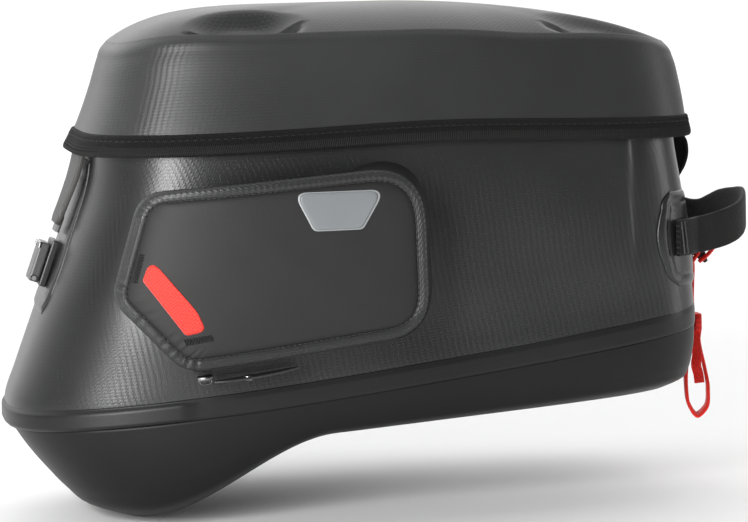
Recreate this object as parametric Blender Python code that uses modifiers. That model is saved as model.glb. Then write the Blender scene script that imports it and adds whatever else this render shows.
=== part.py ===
"""Motorcycle tank bag: welded body on a moulded base, clamshell lid, two side pockets.

Every size below is in millimetres; MM turns it into Blender's metres when a mesh is made.
The origin is the centre of the tank-ring adapter's flat underside. +X points to the grab
handle, -X to the deep nose, -Y to the near pocket, +Z up with the lid level.
"""
import math

import bmesh
import bpy
import numpy as np

MM = 0.001
GAP = 0.35                # play between touching pieces
SEAM_GAP = 2.4            # between body and base, behind the weld band
AROUND = 48               # points round every bag outline
SPLIT_X = -60.0           # where the nose curve and the handle-end curve of an outline meet

MOUTH_Z = 162.0           # top edge of the body, hidden under the lid
RIM_Z = 151.5             # lower edge of the lid at its two ends
RIM_ARCH = 3.5            # how much it rises between them
BODY_WALL = 3.0
BASE_WALL = 4.0
LID_WALL = 3.0
BINDING = (13.0, 1.6)     # grosgrain tape on the lid rim: height, thickness
BAND = (12.0, 1.0)        # weld band between body and base: height, thickness
SADDLE_RISE = 14.0        # how far the underside arches up from the base's edge
PATCH_THICK = 1.2

ADAPTER_RADIUS = 58.0
ADAPTER_THICK = 9.0
SEAT_RADIUS = 64.0        # flat seat in the base's underside
FLOOR = (-88.0, 106.0, 74.0, 2.5)     # stiff floor board: nose end, handle end, half width, thickness
SCREW_CIRCLE = 45.0
SCREW_SHANK = 2.5
SCREW_HEAD = 4.5
SCREW_HEAD_HEIGHT = 3.0
LATCH_SLOT = (46.0, 17.0, 5.4)
LATCH = (42.0, 15.5, 3.6)
LATCH_Z = 2.3

LID_HINGE = (134.5, 151.5)            # X, Z of the lid's fold line

POCKET_DEPTH = 26.0
POCKET_CORNERS = ((-203, 132, 19), (-47, 143, 31), (-46, 49, 27), (-184, 33, 20), (-221, 73, 16))
ZIP_RUN = ((-177.0, 34.0), (-64.0, 47.2))   # X, Z of the zip's two ends in the lower gusset
ZIP_OUT = 15.0                        # zip's distance out from the bag wall

HANDLE_Z = 92.0
HANDLE_PIVOT_X = 139.0
HANDLE_SPREAD = 76.0
HANDLE_REACH = 183.0
WEBBING = (22.0, 3.4)                 # grab handle: width, thickness


def clear_scene():
    for obj in list(bpy.data.objects):
        bpy.data.objects.remove(obj, do_unlink=True)
    for group in list(bpy.data.collections):
        bpy.data.collections.remove(group)


def new_collection(name):
    group = bpy.data.collections.new(name)
    bpy.context.scene.collection.children.link(group)
    return group


clear_scene()
PARTS = new_collection("tank_bag")
CUTTERS = new_collection("cutters")
CUTTERS.hide_render = True

FINISHES = {
    "shell_fabric": ((0.045, 0.046, 0.048), 0.55, 0.0),
    "base_skin": ((0.03, 0.031, 0.032), 0.45, 0.0),
    "black_tape": ((0.016, 0.016, 0.016), 0.8, 0.0),
    "pocket_fabric": ((0.06, 0.061, 0.063), 0.6, 0.0),
    "red_webbing": ((0.75, 0.03, 0.02), 0.6, 0.0),
    "reflective_film": ((0.4, 0.41, 0.43), 0.35, 0.1),
    "black_plastic": ((0.02, 0.02, 0.021), 0.4, 0.0),
    "grey_plastic": ((0.12, 0.12, 0.125), 0.4, 0.0),
    "steel": ((0.55, 0.55, 0.55), 0.3, 1.0),
}


def finish(obj, slot, smooth=35):
    """Gives a piece its own Principled material and smooth shading with crisp edges."""
    colour, roughness, metallic = FINISHES[slot]
    material = bpy.data.materials.new(obj.name + "_" + slot)
    material.use_nodes = True
    shader = material.node_tree.nodes["Principled BSDF"]
    shader.inputs["Base Color"].default_value = (*colour, 1)
    shader.inputs["Roughness"].default_value = roughness
    shader.inputs["Metallic"].default_value = metallic
    obj.data.materials.clear()
    obj.data.materials.append(material)
    if obj.type == "MESH":
        obj.data.shade_smooth()
        obj.data.set_sharp_from_angle(angle=math.radians(smooth))
    return obj


def link(name, mesh, slot, group=None):
    obj = bpy.data.objects.new(name, mesh)
    (group or PARTS).objects.link(obj)
    return finish(obj, slot)


# ---------------------------------------------------------------- outlines of the bag

def outline(nose, end, half, nose_power, end_power):
    """Closed plan outline, two superellipse halves, points shared between length and turning."""
    angle = np.linspace(0, 2 * math.pi, 1441)[:-1]
    c = np.cos(angle)
    s = np.sin(angle)
    power = np.where(c < 0, nose_power, end_power)
    reach = np.where(c < 0, SPLIT_X - nose, end - SPLIT_X)
    x = SPLIT_X + reach * np.sign(c) * np.abs(c) ** (2 / power)
    y = half * np.sign(s) * np.abs(s) ** (2 / power)
    points = np.stack([x, y], 1)
    step = np.roll(points, -1, 0) - points
    length = np.hypot(*step.T)
    heading = np.unwrap(np.arctan2(step[:, 1], step[:, 0]))
    turning = np.abs(np.roll(heading, -1) - heading)
    turning[-1] = 0
    weight = 1.3 * length / length.sum() + turning / turning.sum()
    travelled = np.concatenate([[0], np.cumsum(weight)])
    at = np.linspace(0, travelled[-1], AROUND + 1)[:-1]
    closed = np.concatenate([points, points[:1]])
    return np.stack([np.interp(at, travelled, closed[:, i]) for i in (0, 1)], 1)


def smoothstep(t):
    t = np.clip(t, 0, 1)
    return t * t * (3 - 2 * t)


def seam_z(x):
    """Height of the weld between body and base: it climbs towards the handle."""
    return 22 + 0.125 * x + 0.00008 * x * x


def edge_z(x):
    """Height of the base's lower edge: nearly level, dropping into the deep nose."""
    return -6 + 0.065 * x - 42 * smoothstep((-93 - x) / 115)


def crest_z(x):
    """Height of the lid's middle line."""
    fall = 26 * np.clip((x + 40) / 170, 0, None) ** 1.8
    nose = 5 * np.clip((-100 - x) / 90, 0, None) ** 3
    return 234 - fall - nose


def shoulder_drop(x):
    """How far the lid's shoulder lies below its middle line: less towards both ends."""
    return 16 - 10 * smoothstep((x - 10) / 100) - 4 * smoothstep((-130 - x) / 60)


def rim_z(x):
    """Height of the lid's lower edge: it arches a little over the pockets."""
    return RIM_Z + RIM_ARCH * np.exp(-((x + 30) / 90) ** 2)


# Each table: how far down or up the wall, then nose X, handle-end X, half width, nose power
BODY_LEVELS = np.array([
    (0.00, -221.5, 121.0, 98.0, 3.8),
    (0.12, -222.5, 122.0, 99.5, 3.7),
    (0.36, -236.0, 126.0, 101.5, 3.4),
    (0.62, -254.0, 130.0, 102.5, 3.1),
    (0.83, -268.5, 131.5, 103.0, 2.9),
    (0.92, -275.0, 132.0, 103.7, 2.8),
    (1.00, -275.0, 132.0, 104.0, 2.8),
])
BASE_LEVELS = np.array([
    (0.00, -273.0, 132.0, 104.0, 2.8),
    (0.25, -264.0, 132.0, 103.4, 2.8),
    (0.50, -253.0, 131.0, 102.0, 2.8),
    (0.70, -243.0, 129.5, 100.0, 2.8),
    (0.88, -231.0, 126.5, 96.0, 2.8),
    (1.00, -213.0, 119.0, 87.0, 2.8),
])
LID_LEVELS = np.array([
    (0.00, -231.0, 130.0, 103.0, 3.9),
    (0.20, -225.5, 129.0, 101.0, 3.9),
    (0.60, -216.0, 126.5, 95.5, 3.9),
    (0.85, -211.0, 123.5, 91.5, 3.8),
    (1.00, -204.0, 117.5, 86.5, 3.7),
])
END_POWER = 6.0


def level(table, t):
    return [np.interp(t, table[:, 0], table[:, i]) for i in range(1, 5)]


def body_ring(t, out=0.0):
    nose, end, half, power = level(BODY_LEVELS, t)
    plan = outline(nose - out, end + out, half + out, power, END_POWER)
    z = MOUTH_Z + t * (seam_z(plan[:, 0]) - MOUTH_Z)
    return np.column_stack([plan, z])


def base_ring(t, out=0.0):
    nose, end, half, power = level(BASE_LEVELS, t)
    plan = outline(nose - out, end + out, half + out, power, END_POWER)
    top = seam_z(plan[:, 0]) - SEAM_GAP
    return np.column_stack([plan, top + t * (edge_z(plan[:, 0]) - top)])


def under_ring(b):
    """The underside: a saddle over the tank that runs into the adapter's round, flat seat.
    b goes from 0 at the base's edge to 1 at the seat."""
    edge = base_ring(1.0)[:, :2]
    radius = np.hypot(*edge.T)
    circle = edge * (SEAT_RADIUS / radius)[:, None]
    xy = 0.95 * (1 - b) * edge + b * circle
    saddle = edge_z(xy[:, 0]) + SADDLE_RISE * (1 - (np.hypot(*xy.T) / radius) ** 2)
    seat = ADAPTER_THICK + GAP
    return np.column_stack([xy, saddle + smoothstep(b) ** 2 * (seat - saddle)])


def lid_ring(t, out=0.0):
    nose, end, half, power = level(LID_LEVELS, t)
    plan = outline(nose - out, end + out, half + out, power, END_POWER)
    rim = rim_z(plan[:, 0])
    shoulder = crest_z(plan[:, 0]) - shoulder_drop(plan[:, 0])
    return np.column_stack([plan, rim + t * (shoulder - rim)])


def crown_ring(s):
    ring = lid_ring(1.0)
    centre = np.array([-42.0, 0.0])
    xy = centre + s * (ring[:, :2] - centre)
    return np.column_stack([xy, crest_z(xy[:, 0]) - shoulder_drop(ring[:, 0]) * s ** 6])


def body_side(x, z):
    """Half width of the body wall at X and height Z."""
    t = np.clip((MOUTH_Z - z) / (MOUTH_Z - seam_z(x)), 0, 1)
    nose, end, half, power = level(BODY_LEVELS, t)
    ratio = np.where(x < SPLIT_X, (SPLIT_X - x) / (SPLIT_X - nose), (x - SPLIT_X) / (end - SPLIT_X))
    power = np.where(x < SPLIT_X, power, END_POWER)
    return half * (1 - np.clip(ratio, 0, 0.999) ** power) ** (1 / power)


def nose_wall(y, z):
    """X of the body's nose wall at Y and height Z."""
    t = np.clip((MOUTH_Z - z) / (MOUTH_Z - seam_z(-250.0)), 0, 1)
    nose, _, half, power = level(BODY_LEVELS, t)
    return SPLIT_X - (SPLIT_X - nose) * (1 - (np.abs(y) / half) ** power) ** (1 / power)


def end_wall(y, z):
    """X of the body's handle-end wall at Y and height Z."""
    t = np.clip((MOUTH_Z - z) / (MOUTH_Z - seam_z(130.0)), 0, 1)
    _, end, half, _ = level(BODY_LEVELS, t)
    return SPLIT_X + (end - SPLIT_X) * (1 - (np.abs(y) / half) ** END_POWER) ** (1 / END_POWER)


# ---------------------------------------------------------------- ways to make a mesh

def skin(name, rings, slot, wall, close=False, inward=True, group=None):
    """A surface through rings of equal length, each from outside seen anticlockwise,
    walled by Solidify. close shuts the last ring with a fan to its middle."""
    rings = [np.asarray(ring, float) for ring in rings]
    count = len(rings[0])
    points = np.concatenate(rings)
    faces = []
    for k in range(len(rings) - 1):
        for i in range(count):
            j = (i + 1) % count
            faces.append((k * count + i, k * count + j, (k + 1) * count + j, (k + 1) * count + i))
    if close:
        points = np.concatenate([points, rings[-1].mean(axis=0)[None]])
        last = (len(rings) - 1) * count
        faces += [(last + i, last + (i + 1) % count, len(points) - 1) for i in range(count)]
    mesh = bpy.data.meshes.new(name)
    mesh.from_pydata((points * MM).tolist(), [], faces)
    obj = link(name, mesh, slot, group)
    shell = obj.modifiers.new("wall", "SOLIDIFY")
    shell.thickness = wall * MM
    shell.offset = -1 if inward else 1
    shell.use_even_offset = False
    return obj


def strap(name, path, across, thick, slot):
    """Flat webbing: a rectangle carried along a path. across is half the width as a vector."""
    path = np.asarray(path, float)
    across = np.broadcast_to(np.asarray(across, float), path.shape)
    along = np.gradient(path, axis=0)
    normal = np.cross(along, across)
    normal *= thick / 2 / np.linalg.norm(normal, axis=1)[:, None]
    corners = [path + across + normal, path + across - normal,
               path - across - normal, path - across + normal]
    points = np.stack(corners, 1).reshape(-1, 3)
    mesh = bpy.data.meshes.new(name)
    faces = []
    for k in range(len(path) - 1):
        for i in range(4):
            j = (i + 1) % 4
            faces.append((4 * k + i, 4 * k + j, 4 * k + 4 + j, 4 * k + 4 + i))
    last = 4 * (len(path) - 1)
    faces += [(3, 2, 1, 0), (last, last + 1, last + 2, last + 3)]
    mesh.from_pydata((points * MM).tolist(), [], faces)
    fix_normals(mesh)
    return link(name, mesh, slot)


def fix_normals(mesh):
    work = bmesh.new()
    work.from_mesh(mesh)
    bmesh.ops.recalc_face_normals(work, faces=work.faces[:])
    work.to_mesh(mesh)
    work.free()


def box(name, size, slot, place, turn=0.0, bevel=0.0, group=None):
    """A block, its middle at place, turned about Y."""
    mesh = bpy.data.meshes.new(name)
    work = bmesh.new()
    bmesh.ops.create_cube(work, size=1)
    bmesh.ops.scale(work, vec=np.array(size) * MM, verts=work.verts[:])
    work.to_mesh(mesh)
    work.free()
    obj = link(name, mesh, slot, group)
    obj.location = np.array(place) * MM
    obj.rotation_euler = (0, turn, 0)
    if bevel:
        rounding = obj.modifiers.new("edges", "BEVEL")
        rounding.width = bevel * MM
        rounding.segments = 2
    return obj


def cylinder(name, radius, height, slot, place, sides=32, lying=False, group=None):
    """A cylinder standing on Z, or lying along Y."""
    mesh = bpy.data.meshes.new(name)
    work = bmesh.new()
    bmesh.ops.create_cone(work, cap_ends=True, segments=sides, radius1=radius * MM,
                          radius2=radius * MM, depth=height * MM)
    work.to_mesh(mesh)
    work.free()
    obj = link(name, mesh, slot, group)
    obj.location = np.array(place) * MM
    obj.rotation_euler = (math.pi / 2 if lying else 0, 0, 0)
    return obj


def cut(obj, cutter, how="DIFFERENCE"):
    cutter.display_type = "WIRE"
    cutter.hide_render = True
    boolean = obj.modifiers.new("cut", "BOOLEAN")
    boolean.operation = how
    boolean.object = cutter


def pivot(name, x, z, y=0.0):
    """An empty on a joint's axis."""
    empty = bpy.data.objects.new(name, None)
    empty.location = (x * MM, y * MM, z * MM)
    empty.empty_display_size = 0.01
    PARTS.objects.link(empty)
    return empty


def hang(obj, empty):
    obj.parent = empty
    obj.location = obj.location - empty.location


# ---------------------------------------------------------------- base, floor and tank-ring adapter

def make_base():
    walls = [base_ring(t) for t in (0, 0.25, 0.5, 0.7, 0.88, 1.0)]
    under = [under_ring(b) for b in (0, 0.25, 0.5, 0.75, 1.0)]
    under.append(under[-1] * (0.5, 0.5, 1))
    base = skin("base_shell", walls + under, "base_skin", BASE_WALL, close=True)
    base.data.flip_normals()
    nose, end, half, thick = FLOOR
    plan = outline(nose, end, half, 5, 6)
    floor_z = ADAPTER_THICK + GAP + BASE_WALL + GAP
    ring = np.column_stack([plan, np.full(AROUND, floor_z)])
    centre = np.array([9.0, 0.0, floor_z])
    floor = skin("floor_plate", [ring, centre + 0.5 * (ring - centre)], "black_plastic", thick,
                 close=True, inward=False)
    adapter = cylinder("tank_ring_adapter", ADAPTER_RADIUS, ADAPTER_THICK, "black_plastic",
                       (0, 0, ADAPTER_THICK / 2), sides=48)
    slot = box("latch_slot", LATCH_SLOT, "steel", (ADAPTER_RADIUS - 12, 0, LATCH_Z - 0.1), group=CUTTERS)
    cut(adapter, slot)
    latch = box("latch_slide", LATCH, "grey_plastic", (ADAPTER_RADIUS - 7.5, 0, LATCH_Z), bevel=0.6)
    hang(latch, pivot("latch_pivot", ADAPTER_RADIUS, LATCH_Z))
    for i in range(4):
        angle = math.radians(45 + 90 * i)
        x = SCREW_CIRCLE * math.cos(angle)
        y = SCREW_CIRCLE * math.sin(angle)
        top = floor_z + thick + 1.5
        bore = cylinder(f"screw_bore_{i + 1}", SCREW_SHANK + 0.3, 60, "steel", (x, y, 10), 16,
                        group=CUTTERS)
        sink = cylinder(f"screw_sink_{i + 1}", SCREW_HEAD + 0.4, 8, "steel", (x, y, 0), 20,
                        group=CUTTERS)
        for piece in (base, floor, adapter):
            cut(piece, bore)
        cut(adapter, sink)
        screw = cylinder(f"adapter_screw_{i + 1}", SCREW_SHANK, top - 2, "steel",
                         (x, y, (top + 2) / 2), 16)
        head = cylinder(f"screw_head_{i + 1}", SCREW_HEAD, SCREW_HEAD_HEIGHT, "steel", (x, y, 2.2), 20,
                        group=CUTTERS)
        cut(screw, head, "UNION")


# ---------------------------------------------------------------- body, weld band and mouth frame

def make_body():
    body = skin("body_shell", [body_ring(t) for t in (0, 0.12, 0.36, 0.62, 0.83, 0.92, 1)],
                "shell_fabric", BODY_WALL)
    body.data.flip_normals()
    height, thick = BAND
    lower = body_ring(1.0, GAP + 0.3)
    upper = body_ring(0.93, GAP + 0.5)
    upper[:, 2] = lower[:, 2] + height
    middle = (lower + upper) / 2
    middle[:, :2] = body_ring(0.965, GAP + 0.6)[:, :2]
    band = skin("weld_band", [upper, middle, lower], "base_skin", thick, inward=False)
    band.data.flip_normals()
    frame_rings = []
    for z, t in ((MOUTH_Z, 0.0), (MOUTH_Z - 9, 0.05)):
        ring = body_ring(t, -BODY_WALL - 1.3)
        ring[:, 2] = z
        frame_rings.append(ring)
    frame = skin("mouth_frame", frame_rings, "black_plastic", 2.5)
    frame.data.flip_normals()


# ---------------------------------------------------------------- lid

def make_lid():
    hinge = pivot("lid_pivot", *LID_HINGE)
    walls = [lid_ring(t) for t in (0, 0.2, 0.6, 0.85, 1.0)]
    crown = [crown_ring(s) for s in (0.92, 0.78, 0.55, 0.28)]
    lid = skin("lid_shell", walls + crown, "shell_fabric", LID_WALL, close=True)
    height, thick = BINDING
    tape = []
    for up in (-1.5, height / 2 - 1.5, height - 1.5):
        ring = lid_ring(max(up, 0) / 62, GAP + 0.5)
        ring[:, 2] = rim_z(ring[:, 0]) + up
        tape.append(ring)
    binding = skin("lid_binding", tape, "black_tape", thick, inward=False)
    for obj in (lid, binding):
        hang(obj, hinge)


# ---------------------------------------------------------------- nose closure

NOSE_TURN = math.atan2(32, 86)         # lean of the nose wall
CLOSURE_HALF_WIDTH = 19.0
STRAP_THICK = 2.4


def nose_path(heights, y, stand_off):
    """Points down the nose wall's middle, held off it."""
    return [(nose_wall(0.0, z) - off, y, z) for z, off in zip(heights, stand_off)]


def make_closure():
    heights = np.linspace(146, 58, 8)
    rows = []
    for z in heights:
        half = np.interp(z, (58, 146), (30, 21))
        y = np.linspace(-half, half, 7)
        rows.append(np.column_stack([nose_wall(y, np.full(7, z)) - GAP, y, np.full(7, z)]))
    grid_sheet("front_patch", rows, "shell_fabric", PATCH_THICK)
    strap_pivot = pivot("closure_pivot", -228.5, 149.5)
    route = nose_path(np.linspace(147.5, 111, 6), 0, np.linspace(5.2, 12, 6))
    tongue = strap("closure_strap", route, (0, CLOSURE_HALF_WIDTH, 0), STRAP_THICK, "black_tape")
    hook = box("closure_hook", (4.0, 30, 9), "grey_plastic",
               (nose_wall(0, 105.0) - 12.5, 0, 105.0), NOSE_TURN, 0.8)
    for obj in (tongue, hook):
        hang(obj, strap_pivot)
    base_z = 86.0
    box("buckle_base", (4, 27, 28), "black_plastic",
        (nose_wall(0, base_z) - 4.6, 0, base_z), NOSE_TURN, 0.8)
    pin_z = 78.0
    pin_x = nose_wall(0, pin_z) - 10.5
    lever_pivot = pivot("buckle_pivot", pin_x, pin_z)
    cylinder("buckle_pin", 1.4, 26, "steel", (pin_x, 0, pin_z), 12, lying=True)
    lever = box("buckle_lever", (6, 21, 24), "grey_plastic",
                (pin_x + 0.3 + 10 * math.sin(NOSE_TURN), 0, pin_z + 9.0), NOSE_TURN, 1.2)
    bore = cylinder("buckle_bore", 1.8, 40, "steel", (pin_x, 0, pin_z), 16, lying=True,
                    group=CUTTERS)
    cut(lever, bore)
    hang(lever, lever_pivot)


def grid_sheet(name, rows, slot, thick):
    """A thin sheet on a grid of points, walled outwards."""
    rows = np.asarray(rows, float)
    down, over = rows.shape[:2]
    faces = []
    for k in range(down - 1):
        for i in range(over - 1):
            at = k * over + i
            faces.append((at, at + 1, at + over + 1, at + over))
    mesh = bpy.data.meshes.new(name)
    mesh.from_pydata((rows.reshape(-1, 3) * MM).tolist(), [], faces)
    obj = link(name, mesh, slot)
    middle = rows[down // 2, over // 2]
    normal = mesh.polygons[len(faces) // 2].normal
    outward = middle * (1, 1, 0) - np.array([SPLIT_X, 0, 0])
    if np.dot(normal, outward) < 0:
        mesh.flip_normals()
    wall = obj.modifiers.new("wall", "SOLIDIFY")
    wall.thickness = thick * MM
    wall.offset = 1
    return obj


# ---------------------------------------------------------------- handle end

HINGE_HALF_WIDTH = 34.0
KEEPER = (9.0, 24.0, 12.0)             # block that the release strap runs through
RELEASE_Y = -30.0
RELEASE_HALF_WIDTH = 5.0


def corner_row(z, angle, side, out):
    """Points round the handle-end corner at height Z, at angles of the outline's superellipse."""
    t = (MOUTH_Z - z) / (MOUTH_Z - seam_z(125.0))
    _, end, half, _ = level(BODY_LEVELS, t)
    x = SPLIT_X + (end + out - SPLIT_X) * np.cos(angle) ** (2 / END_POWER)
    y = (half + out) * np.sin(angle) ** (2 / END_POWER)
    return np.column_stack([x, side * y, np.full(len(angle), float(z))])


def make_handle_end():
    for side, word in ((-1, "near"), (1, "far")):
        rows = []
        for z, inner, outer in ((119, 15, 38), (113, 11, 44), (92, 9, 49), (78, 10, 47), (64, 17, 38)):
            rows.append(corner_row(z, np.radians(np.linspace(inner, outer, 9)), side, 1.2))
        grid_sheet(f"handle_patch_{word}", rows, "shell_fabric", 1.6)
        y = side * HANDLE_SPREAD
        root_x = end_wall(y, HANDLE_Z) + 5.5
        tip_x = HANDLE_PIVOT_X - 6
        box(f"handle_anchor_{word}", (tip_x - root_x, 3.4, WEBBING[0] - 3), "black_tape",
            ((tip_x + root_x) / 2, y, HANDLE_Z))
    turn = np.linspace(-math.pi / 2, math.pi / 2, 17)
    reach = HANDLE_REACH - HANDLE_PIVOT_X
    path = np.column_stack([
        HANDLE_PIVOT_X + reach * np.cos(turn) ** 0.8,
        HANDLE_SPREAD * np.sin(turn),
        HANDLE_Z + 9 * np.cos(turn),
    ])
    path[0, 0] = HANDLE_PIVOT_X
    path[-1, 0] = HANDLE_PIVOT_X
    from_root = np.minimum(path[:, 0] - HANDLE_PIVOT_X, 9) / 9
    across = np.zeros_like(path)
    across[:, 2] = 5.5 + (WEBBING[0] / 2 - 5.5) * from_root
    handle = strap("handle_strap", path, across, WEBBING[1], "black_tape")
    hang(handle, pivot("handle_pivot", HANDLE_PIVOT_X, HANDLE_Z))
    fold = [(129, 0, 114), (131.5, 0, 122), (135.5, 0, 130), (137.5, 0, 138), (136.5, 0, 145),
            (133.5, 0, 148.5)]
    strap("hinge_strap", fold, (0, HINGE_HALF_WIDTH, 0), STRAP_THICK, "black_tape")
    box("strap_keeper", KEEPER, "black_plastic", (135.5, RELEASE_Y, 80), bevel=1)
    swing = pivot("release_pivot", 141.5, 72, RELEASE_Y)
    route = [(x, RELEASE_Y, z) for x, z in ((141.5, 72), (141, 50), (141.5, 30), (142.5, 18), (143.5, 12))]
    loop_turn = np.linspace(math.radians(90), math.radians(450), 17)
    loop = [(144 + 6.5 * math.cos(a), RELEASE_Y, -7.5 + 17 * math.sin(a)) for a in loop_turn]
    across = (0, RELEASE_HALF_WIDTH, 0)
    upper = strap("release_strap", route, across, 2.2, "red_webbing")
    lower = strap("release_loop", loop[1:-1], across, 2.0, "red_webbing")
    for obj in (upper, lower):
        hang(obj, swing)


# ---------------------------------------------------------------- side pockets

PANEL_INSET = 2.8                      # panel edge in from the pocket's outline
PANEL_MIDDLE = np.array([-128.0, 92.0])
PANEL_CROWN = 2.5
PANEL_BACK = POCKET_DEPTH - 3.2        # back face of the panel, out from the bag wall
PANEL_THICK = 2.4
SLIDER = (8.0, 8.5, 3.2)
REFLECTOR = ((-121, 129.5), (-70.5, 129.5), (-83, 109.5), (-111, 109.5))
ACCENT = ((-205, 84), (-199.5, 96), (-172, 55.5), (-182, 52))


def pocket_outline(grow=0.0, count=36):
    """The pocket's five-cornered outline in X and Z with round corners."""
    corners = np.array([c[:2] for c in POCKET_CORNERS], float)
    middle = corners.mean(axis=0)
    points = []
    for i, (x, z, radius) in enumerate(POCKET_CORNERS):
        here = np.array([x, z], float)
        back = corners[i - 1] - here
        ahead = corners[(i + 1) % len(corners)] - here
        back /= np.linalg.norm(back)
        ahead /= np.linalg.norm(ahead)
        cut_back = radius / math.tan(math.acos(np.dot(back, ahead)) / 2)
        start = here + back * cut_back
        stop = here + ahead * cut_back
        for t in np.linspace(0, 1, 12):
            points.append((1 - t) ** 2 * start + 2 * t * (1 - t) * here + t ** 2 * stop)
    points = np.array(points)
    step = np.roll(points, -1, 0) - points
    travelled = np.concatenate([[0], np.cumsum(np.hypot(*step.T))])
    at = np.linspace(0, travelled[-1], count + 1)[:-1]
    closed = np.concatenate([points, points[:1]])
    loop = np.stack([np.interp(at, travelled, closed[:, i]) for i in (0, 1)], 1)
    away = loop - middle
    return loop + grow * away / np.linalg.norm(away, axis=1)[:, None]


def pocket_ring(grow, out, side):
    plan = pocket_outline(grow)
    y = body_side(plan[:, 0], plan[:, 1]) + out
    return np.column_stack([plan[:, 0], side * y, plan[:, 1]])


def pocket_face(s, out, side):
    """A ring of the front panel, shrunk towards its middle and slightly crowned."""
    plan = PANEL_MIDDLE + s * (pocket_outline(-PANEL_INSET) - PANEL_MIDDLE)
    y = body_side(plan[:, 0], plan[:, 1]) + out + PANEL_CROWN * (1 - s * s)
    return np.column_stack([plan[:, 0], side * y, plan[:, 1]])


def panel_sheet(name, corners, out, thick, slot, side):
    """A thin four-cornered piece sewn flat on the pocket panel."""
    a, b, c, d = [np.array(corner, float) for corner in corners]
    rows = []
    for t in np.linspace(0, 1, 5):
        row = []
        for u in np.linspace(0, 1, 5):
            x, z = (1 - t) * ((1 - u) * a + u * b) + t * ((1 - u) * d + u * c)
            row.append((x, side * (body_side(x, z) + out), z))
        rows.append(row)
    return grid_sheet(name, rows, slot, thick)


def make_pocket(side, word):
    gusset = skin(f"pocket_gusset_{word}",
                  [pocket_ring(4.0, 2.6, side), pocket_ring(2.0, 9, side),
                   pocket_ring(0.0, POCKET_DEPTH - 4, side)], "pocket_fabric", 2.0)
    panel = skin(f"pocket_panel_{word}",
                 [pocket_face(s, PANEL_BACK, side) for s in (1.0, 0.8, 0.45)],
                 "pocket_fabric", PANEL_THICK, close=True, inward=False)
    if side < 0:
        gusset.data.flip_normals()
        panel.data.flip_normals()
    rim = pocket_ring(1.2, POCKET_DEPTH - 0.2, side)
    tube = bpy.data.curves.new(f"pocket_binding_{word}", "CURVE")
    tube.dimensions = "3D"
    tube.bevel_depth = 1.9 * MM
    tube.bevel_resolution = 1
    tube.use_fill_caps = True
    spline = tube.splines.new("POLY")
    spline.points.add(len(rim) - 1)
    for point, place in zip(spline.points, rim):
        point.co = (*(place * MM), 1)
    spline.use_cyclic_u = True
    link(f"pocket_binding_{word}", tube, "black_tape")
    (x0, z0), (x1, z1) = ZIP_RUN
    start = np.array([x0, side * (body_side(x0, z0) + ZIP_OUT), z0])
    stop = np.array([x1, side * (body_side(x1, z1) + ZIP_OUT), z1])
    run = stop - start
    unit = run / np.linalg.norm(run)
    drop = np.array([0, 0, -4.2])
    zip_line = [start + drop + run * t for t in (0, 0.5, 1)]
    strap(f"pocket_zip_{word}", zip_line, (0, 5, 0), 1.2, "black_tape")
    slider_at = start + drop + unit * 5 - (0, 0, 2.6)
    tilt = -math.atan2(unit[2], unit[0])
    slider = box(f"zip_slider_{word}", SLIDER, "steel", slider_at, tilt, 0.5)
    ring_at = slider_at + unit * 5.2 - (0, 0, 2.9)
    leaf = [ring_at + unit * d for d in (0, 4, 12, 40, 48)]
    widths = np.array([(0, w, 0) for w in (1.8, 3.6, 4.6, 4.6, 1.6)])
    puller = strap(f"zip_puller_{word}", leaf, widths, 1.8, "black_plastic")
    slide = pivot(f"zip_slide_{word}", slider_at[0], slider_at[2], slider_at[1])
    swing = pivot(f"zip_swing_{word}", ring_at[0], ring_at[2], ring_at[1])
    hang(slider, slide)
    hang(puller, swing)
    panel_front = PANEL_BACK + PANEL_THICK + 2.4
    panel_sheet(f"reflective_patch_{word}", REFLECTOR, panel_front, 0.6, "reflective_film", side)
    panel_sheet(f"accent_loop_{word}", ACCENT, panel_front, 1.2, "red_webbing", side)


make_base()
make_body()
make_lid()
make_closure()
make_handle_end()
make_pocket(-1, "near")
make_pocket(1, "far")
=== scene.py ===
"""Motorcycle tank bag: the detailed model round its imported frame. All sizes are in metres."""
import math

import bpy
import numpy as np
from mathutils import Matrix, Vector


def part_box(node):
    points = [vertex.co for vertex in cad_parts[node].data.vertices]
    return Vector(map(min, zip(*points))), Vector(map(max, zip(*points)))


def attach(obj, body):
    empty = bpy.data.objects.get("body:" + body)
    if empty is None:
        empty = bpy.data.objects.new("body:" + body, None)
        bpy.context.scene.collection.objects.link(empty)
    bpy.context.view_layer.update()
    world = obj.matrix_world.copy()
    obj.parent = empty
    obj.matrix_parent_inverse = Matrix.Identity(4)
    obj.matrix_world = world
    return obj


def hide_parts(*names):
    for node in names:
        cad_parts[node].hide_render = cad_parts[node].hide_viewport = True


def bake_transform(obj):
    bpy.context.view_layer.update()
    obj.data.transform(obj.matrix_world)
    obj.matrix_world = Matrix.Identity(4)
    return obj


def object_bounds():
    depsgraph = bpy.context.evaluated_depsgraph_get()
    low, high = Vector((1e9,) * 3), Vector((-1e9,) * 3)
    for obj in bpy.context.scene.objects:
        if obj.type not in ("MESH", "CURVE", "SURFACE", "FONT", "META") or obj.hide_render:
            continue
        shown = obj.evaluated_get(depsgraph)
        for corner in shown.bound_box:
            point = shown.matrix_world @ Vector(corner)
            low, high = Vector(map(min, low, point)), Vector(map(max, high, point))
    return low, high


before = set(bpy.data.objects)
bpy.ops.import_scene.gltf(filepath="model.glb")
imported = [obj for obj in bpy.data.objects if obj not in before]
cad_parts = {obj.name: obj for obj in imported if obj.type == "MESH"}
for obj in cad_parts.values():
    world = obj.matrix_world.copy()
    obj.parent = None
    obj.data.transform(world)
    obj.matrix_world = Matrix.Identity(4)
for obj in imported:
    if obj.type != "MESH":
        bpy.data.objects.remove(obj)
cad_low, cad_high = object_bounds()

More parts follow.
